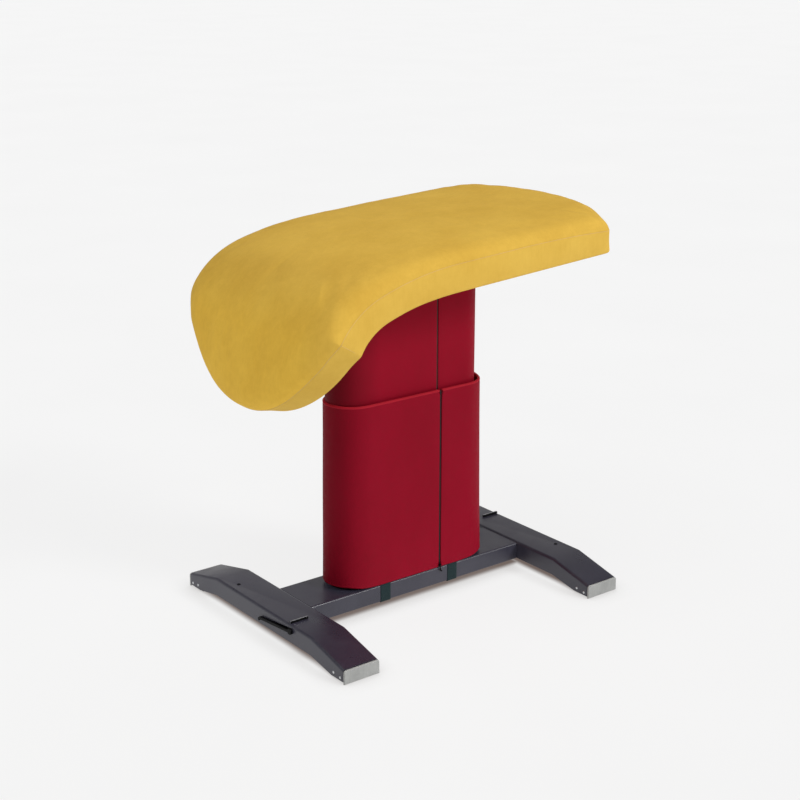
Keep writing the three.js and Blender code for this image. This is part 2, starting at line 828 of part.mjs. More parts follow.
function releaseLever() {
  const half = lever_width / 2;
  const nose = lever_arm - lever_nose_reach;
  const plate = block([-half, nose, lever_bottom], [half, lever_reach, lever_top]);
  const hub = moved(bar('x', lever_hub_radius, -half, half, round_facets), 0, lever_arm, lever_pivot_height);
  const bore = bar('x', lever_pin_radius + running_gap, -half - cut_overrun, half + cut_overrun);
  return cut(joined(plate, hub), moved(bore, 0, lever_arm, lever_pivot_height));
}

function leverGrip() {
  const shape = roundedRectangle(lever_width + grip_radius, 2 * grip_radius, grip_radius - fit_gap);
  const start = lever_reach + grip_end_wall - grip_length;
  const whole = softPlate(shape, start, lever_reach + grip_end_wall, grip_radius / 4, 2);
  const upright = whole.rotateX(-Math.PI / 2).translate(0, 0, lever_pivot_height);
  const half = lever_width / 2 + fit_gap;
  const low = [-half, start - cut_overrun, lever_bottom - fit_gap];
  const high = [half, lever_reach + fit_gap, lever_top + fit_gap];
  return cut(upright, block(low, high));
}

add('lever_bracket', leverBracket(), 'frame_paint');
add('lever_pivot_pin', leverPin(), 'zinc');
add('release_lever', releaseLever(), 'zinc');
add('lever_grip', leverGrip(), 'rubber');

// Padded sleeves: a C in plan, open at the slit that the zip closes
function sleeveShape(straight_half, radius, thickness) {
  const s = straight_half;
  const inner = radius - thickness;
  const [near, far] = [slit_place - slit_width / 2, slit_place + slit_width / 2];
  const quarter = Math.PI / 2;
  const shape = new THREE.Shape();
  shape.moveTo(far, -radius);
  shape.absarc(s, 0, radius, -quarter, quarter);
  shape.absarc(-s, 0, radius, quarter, 3 * quarter);
  shape.lineTo(near, -radius);
  shape.lineTo(near, -inner);
  shape.absarc(-s, 0, inner, 3 * quarter, quarter, true);
  shape.absarc(s, 0, inner, quarter, -quarter, true);
  shape.lineTo(far, -inner);
  shape.closePath();
  return shape;
}

function sleeve(straight_half, radius, thickness, bottom, top) {
  const options = {
    depth: top - bottom - 2 * sleeve_lip_radius,
    bevelThickness: sleeve_lip_radius,
    bevelSize: sleeve_lip_radius,
    bevelOffset: -sleeve_lip_radius,
    bevelSegments: 2,
    curveSegments: sleeve_facets,
  };
  const geometry = new THREE.ExtrudeGeometry(sleeveShape(straight_half, radius, thickness), options);
  return geometry.translate(0, 0, bottom + sleeve_lip_radius);
}

// The closed zip fills the slit, set back from the outer face
function zipStrip(radius, bottom, top) {
  const half = slit_width / 2 - fit_gap;
  const outer = -radius + zip_inset;
  return block([slit_place - half, outer, bottom], [slit_place + half, outer + zip_depth, top]);
}

const lower_sleeve_bottom = beam_top + fit_gap;
const lower_zip_top = lower_sleeve_top - sleeve_lip_radius;
const lower_sleeve_plan = [lower_sleeve_straight_half, lower_sleeve_radius, lower_sleeve_thickness];
add('lower_sleeve', sleeve(...lower_sleeve_plan, lower_sleeve_bottom, lower_sleeve_top), 'sleeve_cloth');
add('lower_zip', zipStrip(lower_sleeve_radius, lower_sleeve_bottom + fit_gap, lower_zip_top), 'zip');

const lever_window = block(
  [-lever_window_width / 2, 0, underside_height - lever_window_height],
  [lever_window_width / 2, lower_sleeve_radius, underside_height + cut_overrun],
);
const upper_sleeve_end = underside_height + rim_rise;
const upper_sleeve_plan = [upper_sleeve_straight_half, upper_sleeve_radius, upper_sleeve_thickness];
const upper_sleeve_whole = sleeve(...upper_sleeve_plan, upper_sleeve_bottom, upper_sleeve_end);
add('upper_sleeve', cut(upper_sleeve_whole, above_shell, lever_window), 'sleeve_cloth');

const upper_zip_bottom = upper_sleeve_bottom + sleeve_lip_radius;
const upper_zip_whole = zipStrip(upper_sleeve_radius, upper_zip_bottom, upper_sleeve_end);
add('upper_zip', cut(upper_zip_whole, above_shell), 'zip');

// The zip's slider at the foot of the lower slit, with its pull hanging in front
const slider_bottom = lower_sleeve_bottom + sleeve_lip_radius;
const slider_back = zip_inset - lower_sleeve_radius - fit_gap;
const slider_front = slider_back - zip_slider_depth;
const slider_half = slit_width / 2 - fit_gap;
const pull_back = -lower_sleeve_radius - fit_gap;
const slider_top = slider_bottom + zip_slider_height;
const slider_middle = (slider_bottom + slider_top) / 2;
const pull_front = pull_back - zip_pull_thickness;
const bridge_front = pull_back - zip_pull_thickness / 2;
const bridge_back = slider_front + zip_pull_thickness;

// A block across the slit, between two depths and two heights
function sliderBlock(front, back, bottom, top) {
  return block([slit_place - slider_half, front, bottom], [slit_place + slider_half, back, top]);
}

add('zip_slider', joined(
  sliderBlock(slider_front, slider_back, slider_bottom, slider_top),
  sliderBlock(pull_front, pull_back, slider_top - zip_pull_length, slider_top),
  sliderBlock(bridge_front, bridge_back, slider_middle, slider_top),
), 'zip');

// Base
const foot_place = foot_spacing / 2;
const sheet_half_length = foot_length / 2 - cap_flange - fit_gap;
const plug_start = foot_length / 2 - cap_flange - cap_plug_length;

// Heights of the foot beam's top and lower edge over the floor at a distance from its middle
function footTop(place) {
  const tip_share = Math.max(0, Math.abs(place) - foot_flat_half) / (foot_length / 2 - foot_flat_half);
  return THREE.MathUtils.lerp(foot_top, foot_tip_top, tip_share);
}

function footUnderside(place) {
  const share = (Math.abs(place) - foot_flat_half) / (plug_start - foot_flat_half);
  const clamped_share = THREE.MathUtils.clamp(share, 0, 1);
  return THREE.MathUtils.lerp(foot_arch_height, rubber_foot_height + fit_gap, clamped_share);
}

// An arch-shaped outline with rounded upper corners, drawn in by an inset, and its rounding points
function archOutline(half, low, high, radius) {
  const corner = [];
  for (let k = 0; k <= edge_facets; k += 1) {
    const turn = k / edge_facets * Math.PI / 2;
    corner.push([half - radius + radius * Math.cos(turn), high - radius + radius * Math.sin(turn)]);
  }
  const other_corner = corner.map(([x, z]) => [-x, z]).reverse();
  const points = [[-half, low], [half, low], ...corner, ...other_corner];
  return points.map(([x, z]) => new THREE.Vector2(x, z));
}

function alongY(at, x, z) {
  return [x, at, z];
}

// The folded sheet of a foot beam: an upside-down channel that slopes down to both tips
function footSheet() {
  const half = foot_width / 2;
  const turns = [-plug_start, -foot_flat_half, foot_flat_half, plug_start];
  const outside = [-sheet_half_length, ...turns, sheet_half_length].map((at) => {
    return { at, outline: archOutline(half, footUnderside(at), footTop(at), foot_edge_radius) };
  });
  const inner_end = sheet_half_length + cut_overrun;
  const inside = [-inner_end, ...turns, inner_end].map((at) => {
    const [low, high] = [footUnderside(at) - cut_overrun, footTop(at) - foot_wall];
    return { at, outline: archOutline(half - foot_wall, low, high, foot_edge_radius - foot_wall) };
  });
  return cut(loft(outside, alongY), loft(inside, alongY));
}

// One end cap: a flange over the tip and a plug inside the sheet, at the +Y tip
function endCap() {
  const half = foot_width / 2;
  const flange_start = foot_length / 2 - cap_flange;
  const flange_shape = new THREE.Shape(archOutline(half, cap_floor_gap, foot_tip_top, cap_corner_radius));
  const flat_flange = softPlate(flange_shape, 0, cap_flange, cap_flange / 4);
  const flange = flat_flange.rotateX(Math.PI / 2).translate(0, flange_start + cap_flange, 0);
  const plug_half = half - foot_wall - fit_gap;
  const places = [plug_start, flange_start + cap_flange / 2];
  const plug_low = rubber_foot_height + fit_gap;
  const plug = loft(places.map((at) => {
    const high = footTop(at) - foot_wall - 2 * fit_gap;
    return { at, outline: archOutline(plug_half, plug_low, high, foot_edge_radius - foot_wall) };
  }), alongY);
  return joined(flange, plug);
}

// Holes for rivets through both walls of the sheet into the plug, at the +Y tip
function rivetHoles() {
  const half = foot_width / 2;
  return rivet_places.flatMap(([back, height]) => [-1, 1].map((side) => {
    const ends = [side * (half - rivet_hole_depth), side * (half + cut_overrun)].sort((p, q) => p - q);
    return moved(bar('x', rivet_hole_radius, ...ends, rivet_facets), 0, foot_length / 2 - back, height);
  }));
}

const cap_with_holes = cut(endCap(), ...rivetHoles());
const rubber_foot_shape = roundedRectangle(rubber_foot_width, rubber_foot_length, rubber_foot_chamfer);
const rubber_foot = softPlate(rubber_foot_shape, 0, rubber_foot_height, rubber_foot_chamfer / 2);
const rubber_foot_place = foot_length / 2 - cap_flange - fit_gap - rubber_foot_length / 2;

// Transport unit, drawn at the front foot: the shaft runs along X and the handle lies outside
const pivot = { y: -roller_pivot_place, z: roller_pivot_height };
const foot_outer = -foot_width / 2;
const ear_from = foot_outer + foot_wall + bracket_inset;
const crank_from = ear_from + bracket_wall + fit_gap;
const roller_from = crank_from + crank_thickness + running_gap;
const roller_to = roller_from + roller_width;
const crank_to = roller_to + running_gap + crank_thickness;
const ear_to = crank_to + fit_gap + bracket_wall;
const web_start = pivot.y + crank_half_width + bracket_web_gap;
const roller_axis = {
  y: pivot.y - crank_length * Math.cos(crank_rest_drop),
  z: pivot.z - crank_length * Math.sin(crank_rest_drop),
};
const shaft_hole_radius = roller_shaft_radius + running_gap;

function atPivot(geometry) {
  return geometry.translate(0, pivot.y, pivot.z);
}

// Folded bracket: two ears carry the shaft, and its web comes up through the foot as a lip
function rollerBracket() {
  const ear_top = foot_top - foot_edge_radius - fit_gap;
  const web_end = web_start + bracket_wall;
  const ear_back = web_end - bracket_ear_depth;
  const body = joined(
    block([ear_from, web_start, bracket_ear_bottom], [ear_to, web_end, foot_top + bracket_lip_height]),
    block([ear_from, ear_back, bracket_ear_bottom], [ear_from + bracket_wall, web_end, ear_top]),
    block([ear_to - bracket_wall, ear_back, bracket_ear_bottom], [ear_to, web_end, ear_top]),
  );
  return cut(body, atPivot(bar('x', shaft_hole_radius, ear_from - cut_overrun, ear_to + cut_overrun)));
}

// Handle: a flat bar with a round hub that lies along the outer wall, on the end of the shaft
function transportLever() {
  const outer = foot_outer - handle_gap;
  const handle_from = outer - handle_thickness;
  const h = handle_half_height;
  const tip_drop = handle_drop + handle_tip_drop;
  const handle = acrossX([
    [0, -h],
    [handle_length, -h - handle_drop],
    [handle_length + h, -h - tip_drop],
    [handle_length + 2 * h, h - tip_drop],
    [handle_length, h - handle_drop],
    [0, h],
  ], handle_from, outer);
  const hub = bar('x', handle_hub_radius, handle_from, outer, round_facets);
  const shaft = bar('x', roller_shaft_radius, outer - fit_gap, ear_to + roller_shaft_end_gap);
  return atPivot(joined(handle, hub, shaft));
}

// Crank: two links and a spacer on the shaft
function crankLink(from) {
  const [reach, drop] = [roller_axis.y - pivot.y, roller_axis.z - pivot.z];
  const turn = Math.atan2(drop, reach);
  const shape = new THREE.Shape();
  shape.absarc(0, 0, crank_half_width, turn + Math.PI / 2, turn + 3 * Math.PI / 2);
  shape.absarc(reach, drop, crank_half_width, turn - Math.PI / 2, turn + Math.PI / 2);
  const link = raised(shape, 0, crank_thickness, hole_facets);
  return link.rotateY(Math.PI / 2).rotateX(Math.PI / 2).translate(from, 0, 0);
}

function rollerCrank() {
  const second = crank_to - crank_thickness;
  const spacer = bar('x', crank_half_width, crank_from + crank_thickness / 2, crank_to - crank_thickness / 2);
  const body = joined(crankLink(crank_from), crankLink(second), spacer);
  const ends = [crank_from - cut_overrun, crank_to + cut_overrun];
  const shaft_bore = bar('x', roller_shaft_radius + fit_gap, ...ends);
  const axle_bore = bar('x', roller_axle_radius + fit_gap, ...ends);
  const axle_place = [roller_axis.y - pivot.y, roller_axis.z - pivot.z];
  return atPivot(cut(body, shaft_bore, moved(axle_bore, 0, ...axle_place)));
}

function rollerAxle() {
  const pin = bar('x', roller_axle_radius, crank_from - fit_gap, crank_to + fit_gap);
  const head_end = crank_to + fit_gap;
  const heads = [
    bar('x', roller_axle_head_radius, crank_from - 2 * roller_axle_head, crank_from - fit_gap),
    bar('x', roller_axle_head_radius, head_end, head_end + roller_axle_head),
  ];
  return moved(joined(pin, ...heads), 0, roller_axis.y, roller_axis.z);
}

function roller() {
  const wheel = bar('x', roller_radius, roller_from, roller_to, round_facets);
  const ends = [roller_from - cut_overrun, roller_to + cut_overrun];
  const bore = bar('x', roller_axle_radius + running_gap, ...ends);
  return moved(cut(wheel, bore), 0, roller_axis.y, roller_axis.z);
}

// Holes in the foot sheet for the shaft, the lip, the anchor bolt and the rivets
function footBeam() {
  const wall_ends = [foot_outer - cut_overrun, foot_outer + foot_wall + cut_overrun];
  const shaft_hole = atPivot(bar('x', shaft_hole_radius, ...wall_ends));
  const slot = block(
    [ear_from - fit_gap, web_start - fit_gap, foot_top - foot_wall - 2 * cut_overrun],
    [ear_to + fit_gap, web_start + bracket_wall + fit_gap, foot_top + cut_overrun],
  );
  const sheet_ends = [foot_top - foot_wall - cut_overrun, foot_top + cut_overrun];
  const anchor = bar('z', anchor_hole_radius, ...sheet_ends, round_facets);
  const anchor_hole = moved(anchor, -anchor_hole_offset, anchor_hole_place, 0);
  const rivet_holes = [...rivetHoles(), ...rivetHoles().map((hole) => hole.rotateZ(Math.PI))];
  return cut(footSheet(), shaft_hole, slot, anchor_hole, ...rivet_holes);
}

// The two feet are the same, one turned half round
const foot_beam = footBeam();
const feet = { front: new THREE.Group(), rear: new THREE.Group() };
feet.front.position.x = -foot_place;
feet.rear.position.x = foot_place;
feet.rear.rotation.z = Math.PI;
for (const [end, foot] of Object.entries(feet)) {
  table.add(foot);
  add(`${end}_foot_beam`, foot_beam.clone(), 'frame_paint', foot);
  for (const side of ['left', 'right']) {
    const turn = side === 'left' ? 0 : Math.PI;
    add(`end_cap_${end}_${side}`, cap_with_holes.clone().rotateZ(turn), 'cap_plastic', foot);
    const pad = moved(rubber_foot, 0, rubber_foot_place, 0).rotateZ(turn);
    add(`rubber_foot_${end}_${side}`, pad, 'rubber', foot);
  }
  add(`roller_bracket_${end}`, rollerBracket(), 'frame_paint', foot);
  add(`transport_lever_${end}`, transportLever(), 'black_paint', foot);
  add(`roller_crank_${end}`, rollerCrank(), 'zinc', foot);
  add(`roller_axle_${end}`, rollerAxle(), 'zinc', foot);
  add(`roller_${end}`, roller(), 'roller_plastic', foot);
}

// Centre beam between the feet, with the plate that carries the posts bolted on it
const beam_half_length = foot_place - foot_width / 2 - fit_gap;
const base_bolt_reach = post_spacing / 2 + outer_post_width / 2 + base_bolt_side_gap;
const base_bolt_corners = corners(base_bolt_reach, base_bolt_half_spacing);
const base_bolt_places = Object.values(base_bolt_corners);

function centreBeam() {
  const shape = roundedRectangle(beam_height, beam_width, beam_corner_radius);
  const bore = [beam_height - 2 * beam_wall, beam_width - 2 * beam_wall];
  shape.holes.push(roundedRectangle(...bore, beam_corner_radius - beam_wall, THREE.Path));
  const tube = raised(shape, -beam_half_length, beam_half_length).rotateY(Math.PI / 2);
  const hole = bar('z', bolt_hole_radius, -beam_wall - cut_overrun, cut_overrun);
  const holes = base_bolt_places.map(([x, y]) => moved(hole, x, y, beam_height / 2));
  return moved(cut(tube, ...holes), 0, 0, beam_top - beam_height / 2);
}

function basePlate() {
  const shape = roundedRectangle(2 * base_plate_half_length, 2 * base_plate_half_width, post_corner_radius);
  shape.holes = base_bolt_places.map(([x, y]) => roundHole(x, y, bolt_hole_radius));
  return raised(shape, beam_top + fit_gap, plate_top, hole_facets);
}

add('centre_beam', centreBeam(), 'frame_paint');
add('post_base_plate', basePlate(), 'frame_paint');
for (const [corner, [x, y]] of Object.entries(base_bolt_corners)) {
  const bolt = hexBolt(bolt_shank_length).rotateX(Math.PI);
  add(`base_bolt_${corner}`, moved(bolt, x, y, plate_top + fit_gap), 'zinc');
}

// Straps sewn to the lower sleeve's hem, passed round the centre beam
function strap() {
  const inner = beam_width / 2 + fit_gap;
  const outer = inner + strap_thickness;
  const low = beam_top - beam_height - fit_gap;
  const top = lower_sleeve_bottom - fit_gap;
  return acrossX([
    [-outer, top], [-outer, low - strap_thickness], [outer, low - strap_thickness], [outer, top],
    [inner, top], [inner, low], [-inner, low], [-inner, top],
  ], -strap_width / 2, strap_width / 2);
}
add('strap_front', moved(strap(), -strap_place, 0, 0), 'webbing');
add('strap_rear', moved(strap(), strap_place, 0, 0), 'webbing');

// The whole is placed with the middle of its length over the origin
const whole = new THREE.Box3().setFromObject(table, true);
table.position.x = -(whole.min.x + whole.max.x) / 2;
table.updateMatrixWorld(true);

export default table;
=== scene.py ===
"""Looks of the vaulting table: a padded top on a sleeved column that stands on a steel H-shaped base."""
import json
import math
import bmesh
import bpy
import numpy as np
from mathutils import Matrix, Vector, kdtree, noise

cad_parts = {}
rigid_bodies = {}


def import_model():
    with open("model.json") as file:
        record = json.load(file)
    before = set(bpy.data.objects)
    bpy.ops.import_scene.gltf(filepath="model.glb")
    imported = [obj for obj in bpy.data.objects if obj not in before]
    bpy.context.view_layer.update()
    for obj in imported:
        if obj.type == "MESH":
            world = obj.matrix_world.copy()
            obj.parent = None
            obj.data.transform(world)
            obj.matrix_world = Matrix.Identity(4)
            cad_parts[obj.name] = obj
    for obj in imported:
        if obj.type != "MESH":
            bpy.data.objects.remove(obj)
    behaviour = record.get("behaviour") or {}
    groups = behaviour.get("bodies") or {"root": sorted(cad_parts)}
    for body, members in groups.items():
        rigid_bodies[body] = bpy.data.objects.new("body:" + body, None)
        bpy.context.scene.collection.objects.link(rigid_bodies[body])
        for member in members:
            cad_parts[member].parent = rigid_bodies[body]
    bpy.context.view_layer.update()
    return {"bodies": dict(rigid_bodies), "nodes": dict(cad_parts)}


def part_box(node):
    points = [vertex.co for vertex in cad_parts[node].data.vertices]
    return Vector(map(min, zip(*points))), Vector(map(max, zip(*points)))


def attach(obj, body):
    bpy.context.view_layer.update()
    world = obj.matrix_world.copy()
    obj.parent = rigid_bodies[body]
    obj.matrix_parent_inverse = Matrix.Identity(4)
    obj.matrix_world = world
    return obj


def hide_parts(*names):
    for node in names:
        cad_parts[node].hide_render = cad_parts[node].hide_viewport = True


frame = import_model()

# Pieces are drawn in millimetres over the middle of the column and then placed on the model in metres
MM = 0.001
sleeve_low, sleeve_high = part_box("lower_sleeve")
column_place = (sleeve_low.x + sleeve_high.x) / 2
TO_MODEL = Matrix.Translation((column_place, 0, 0)) @ Matrix.Scale(MM, 4)
TO_DRAWING = TO_MODEL.inverted()
BODY_OF = {node: body for body, empty in frame["bodies"].items()
           for node, solid in frame["nodes"].items() if solid.parent is empty}


# Finishes

def paint(*screen_values):
    """A colour given as screen values, as the shader wants it."""
    linear = [(v / 255 / 12.92 if v <= 10 else ((v / 255 + 0.055) / 1.055) ** 2.4) for v in screen_values]
    return (*linear, 1.0)


# Soft noise lies mostly between these two values
CLOUD_LOW, CLOUD_HIGH = 0.3, 0.7


class Finish:
    """A surface finish as a node tree, with small helpers for the patterns in it."""

    def __init__(self, name, roughness=0.5, metallic=0.0, **inputs):
        self.material = bpy.data.materials.new(name)
        self.material.use_nodes = True
        self.tree = self.material.node_tree
        self.shader = self.tree.nodes["Principled BSDF"]
        self.shader.inputs["Roughness"].default_value = roughness
        self.shader.inputs["Metallic"].default_value = metallic
        for label, value in inputs.items():
            self.shader.inputs[label.replace("_", " ")].default_value = value
        self.place = self.node("ShaderNodeTexCoord").outputs["Object"]
        self.relief = None

    def node(self, kind, **settings):
        made = self.tree.nodes.new(kind)
        for label, value in settings.items():
            setattr(made, label, value)
        return made

    def put(self, socket, value):
        if isinstance(value, bpy.types.NodeSocket):
            self.tree.links.new(value, socket)
        else:
            socket.default_value = value

    def stretched(self, stretch):
        mapping = self.node("ShaderNodeMapping")
        self.put(mapping.inputs["Vector"], self.place)
        mapping.inputs["Scale"].default_value = stretch
        return mapping.outputs["Vector"]

    def clouds(self, scale, detail=3.0, rough=0.55, stretch=None, distortion=0.0):
        """Soft noise; the scale is in patches per metre."""
        texture = self.node("ShaderNodeTexNoise")
        self.put(texture.inputs["Vector"], self.stretched(stretch) if stretch else self.place)
        texture.inputs["Scale"].default_value = scale
        texture.inputs["Detail"].default_value = detail
        texture.inputs["Roughness"].default_value = rough
        texture.inputs["Distortion"].default_value = distortion
        return texture.outputs["Fac"]

    def cells(self, scale):
        """Small round cells, as the distance from the middle of the nearest one."""
        texture = self.node("ShaderNodeTexVoronoi", feature="F1")
        self.put(texture.inputs["Vector"], self.place)
        texture.inputs["Scale"].default_value = scale
        return texture.outputs["Distance"]

    def waves(self, scale, direction):
        texture = self.node("ShaderNodeTexWave", bands_direction=direction, wave_profile="SIN")
        self.put(texture.inputs["Vector"], self.place)
        texture.inputs["Scale"].default_value = scale
        return texture.outputs["Fac"]

    def maths(self, operation, first, second=0.0):
        made = self.node("ShaderNodeMath", operation=operation)
        self.put(made.inputs[0], first)
        self.put(made.inputs[1], second)
        return made.outputs[0]

    def times(self, first, second):
        return self.maths("MULTIPLY", first, second)

    def plus(self, first, second):
        return self.maths("ADD", first, second)

    def blend(self, first, share, second):
        """Two patterns in one, the first with the given share and the second with what is left."""
        return self.plus(self.times(first, share), self.times(second, 1 - share))

    def range(self, value, low, high, to_low=0.0, to_high=1.0):
        made = self.node("ShaderNodeMapRange")
        for socket, entry in zip(made.inputs, (value, low, high, to_low, to_high)):
            self.put(socket, entry)
        return made.outputs[0]

    def mix(self, share, first, second, blend="MIX"):
        made = self.node("ShaderNodeMix", data_type="RGBA", blend_type=blend)
        self.put(made.inputs[0], share)
        self.put(made.inputs[6], first)
        self.put(made.inputs[7], second)
        return made.outputs[2]

    def axis(self, name):
        made = self.node("ShaderNodeSeparateXYZ")
        self.put(made.inputs[0], self.place)
        return made.outputs[name]

    def colour(self, value):
        self.put(self.shader.inputs["Base Color"], value)

    def rough(self, pattern, to_low, to_high):
        """Lets the roughness follow a cloudy pattern between two values."""
        spread = self.range(pattern, CLOUD_LOW, CLOUD_HIGH, to_low, to_high)
        self.put(self.shader.inputs["Roughness"], spread)

    def tinted(self, tone, share):
        """A colour times a grey share."""
        grey = self.node("ShaderNodeCombineColor")
        for socket in grey.inputs[:3]:
            self.put(socket, share)
        return self.mix(1.0, tone, grey.outputs[0], "MULTIPLY")

    def bump(self, height, distance, strength=1.0):
        """Adds relief of the given depth in metres over what was there."""
        made = self.node("ShaderNodeBump")
        made.inputs["Strength"].default_value = strength
        made.inputs["Distance"].default_value = distance
        self.put(made.inputs["Height"], height)
        if self.relief:
            self.put(made.inputs["Normal"], self.relief)
        self.relief = made.outputs["Normal"]
        self.put(self.shader.inputs["Normal"], self.relief)


# How lively each pattern is: patches per metre
PILE, CLOTH_GRAIN, PAINT_SKIN, MOULD_SKIN = 1400, 900, 520, 900
# Painted light on the flap: where the cover hangs down along it, and how far to the side the painted light
# still reaches
FLAP_LIGHT_START, FLAP_LIGHT_END, FLAP_LIGHT_MIDDLE, FLAP_LIGHT_SIDE = 1.18, 1.02, 0.28, 0.39
# Where the painted shade on the sleeves' front end, under the flap, starts and ends, from the middle of the
# column
SHADED_START, SHADED_END = -0.29, -0.14
STAIN_LOW, STAIN_HIGH = 0.004, 0.03
# A wave pattern's scale for one rib per metre, and the webbing's ribs in metres
WAVE_SCALE, RIB = 2 * math.pi / 20, 0.0016


def suede(name, light, dark, flap_light=1.22):
    """Napped cover cloth: clouds, fine streaks and a short pile, with painted light that makes it lighter in
    red and green where it hangs down at the flap.
    """
    f = Finish(name, roughness=0.9, Sheen_Weight=0.1, Sheen_Roughness=0.5, Sheen_Tint=(1.0, 0.78, 0.3, 1),
               Specular_IOR_Level=0.08)
    wide = f.clouds(5.5, 3, 0.6)
    fine = f.clouds(42, 4, 0.65)
    streaks = f.clouds(30, 3, 0.6, stretch=(5.0, 5.0, 0.5))
    cloudy = f.plus(f.times(wide, 0.5), f.times(fine, 0.3))
    share = f.range(f.plus(cloudy, f.times(streaks, 0.2)), 0.38, 0.62)
    pile = f.clouds(PILE, 2, 0.7)
    # Painted light: red and green are brightened low on the flap, most near its middle
    across = f.range(f.maths("ABSOLUTE", f.axis("Y")), FLAP_LIGHT_MIDDLE, FLAP_LIGHT_SIDE, 1.0, 0.15)
    down = f.range(f.axis("Z"), FLAP_LIGHT_START, FLAP_LIGHT_END, 0.0, flap_light - 1)
    painted_flap_light = f.plus(f.times(across, down), 1.0)
    fibres = f.range(pile, CLOUD_LOW, CLOUD_HIGH, 0.94, 1.04)
    fibres_with_flap_light = f.times(fibres, painted_flap_light)
    lift = f.node("ShaderNodeCombineColor")
    for socket, value in zip(lift.inputs, (fibres_with_flap_light, fibres_with_flap_light, fibres)):
        f.put(socket, value)
    f.colour(f.mix(1.0, f.mix(share, dark, light), lift.outputs[0], "MULTIPLY"))
    f.rough(fine, 0.8, 0.94)
    f.bump(wide, 0.004, 0.5)
    f.bump(fine, 0.0009, 0.6)
    f.bump(pile, 0.00035, 0.5)
    return f.material


def leathercloth(name, light, dark, front_shade=1.0):
    """Coated sleeve cloth with a pebbled grain, faint clouds and soft draws, and painted shade that darkens
    its front end under the flap.
    """
    f = Finish(name, roughness=0.62, Specular_IOR_Level=0.07)
    wide = f.clouds(4.5, 3, 0.6, stretch=(1, 1, 0.5))
    fine = f.clouds(70, 3, 0.6)
    share = f.range(f.blend(wide, 0.7, fine), 0.36, 0.64)
    shaded = (column_place + SHADED_START, column_place + SHADED_END)
    f.colour(f.tinted(f.mix(share, dark, light), f.range(f.axis("X"), *shaded, front_shade, 1.0)))
    f.rough(fine, 0.55, 0.7)
    f.bump(f.clouds(9, 2, 0.5, stretch=(1, 1, 0.25)), 0.004, 0.45)
    f.bump(f.range(f.cells(CLOTH_GRAIN), 0.0, 0.7), 0.0003, 0.5)
    f.bump(fine, 0.0005, 0.4)
    return f.material


def coated_steel(name, base, worn, roughness, shine=0.55):
    """Powder-coated steel: orange peel, faint dust and rubbed patches."""
    f = Finish(name, roughness=roughness, Specular_IOR_Level=shine)
    dust = f.clouds(7, 4, 0.65)
    specks = f.clouds(260, 3, 0.7)
    f.colour(f.mix(f.range(f.blend(dust, 0.75, specks), 0.42, 0.68), base, worn))
    f.rough(dust, roughness - 0.07, roughness + 0.12)
    f.bump(f.clouds(PAINT_SKIN, 2, 0.5), 0.00012, 0.3)
    f.bump(f.clouds(14, 2, 0.5), 0.0012, 0.12)
    return f.material


def moulded(name, base, worn, roughness=0.5, stain=None):
    """Moulded plastic or rubber: a fine spark texture, faint flow clouds, scuffs and grime at its foot."""
    f = Finish(name, roughness=roughness, Specular_IOR_Level=0.45)
    flow = f.clouds(16, 4, 0.6)
    streaks = f.clouds(60, 3, 0.6, stretch=(3, 3, 0.35))
    tone = f.mix(f.range(f.blend(flow, 0.6, streaks), 0.38, 0.64), base, worn)
    if stain:
        spots = f.range(f.clouds(24, 3, 0.6), 0.6, 0.72)
        low = f.range(f.axis("Z"), STAIN_LOW, STAIN_HIGH, 0.5, 0.0)
        tone = f.mix(f.times(spots, low), tone, stain)
    f.colour(tone)
    f.rough(flow, roughness - 0.08, roughness + 0.1)
    f.bump(f.clouds(MOULD_SKIN, 2, 0.6), 0.00015, 0.4)
    return f.material


def plated_steel(name, base, worn, roughness):
    """Zinc or bright steel: fine drawing lines and cloudy passivation."""
    f = Finish(name, roughness=roughness, metallic=1.0)
    film = f.clouds(45, 4, 0.65)
    lines = f.clouds(90, 3, 0.7, stretch=(1, 1, 14))
    f.colour(f.mix(f.range(film, 0.35, 0.68), base, worn))
    f.rough(film, roughness - 0.08, roughness + 0.14)
    f.bump(lines, 0.00012, 0.3)
    return f.material


def woven(name, base, light):
    """Ribbed narrow webbing: crossing ribs and a slightly hairy face."""
    f = Finish(name, roughness=0.8, Sheen_Weight=0.12, Specular_IOR_Level=0.25)
    ribs = f.waves(WAVE_SCALE / RIB, "X")
    picks = f.waves(WAVE_SCALE / (RIB * 1.4), "DIAGONAL")
    weave = f.times(ribs, picks)
    hairs = f.clouds(600, 3, 0.7)
    f.colour(f.mix(f.range(f.plus(weave, f.times(hairs, 0.5)), 0.2, 1.1), base, light))
    f.bump(weave, 0.0004, 0.7)
    f.bump(hairs, 0.0002, 0.4)
    return f.material


def plywood(name, light, dark):
    """Bent plywood: long grain along the bend, and open pores."""
    f = Finish(name, roughness=0.55, Specular_IOR_Level=0.35)
    grain = f.clouds(6, 6, 0.7, stretch=(1, 14, 1), distortion=0.4)
    pores = f.clouds(120, 3, 0.7, stretch=(1, 9, 1))
    f.colour(f.mix(f.range(f.blend(grain, 0.7, pores), 0.36, 0.64), light, dark))
    f.rough(grain, 0.48, 0.66)
    f.bump(pores, 0.0003, 0.5)
    return f.material


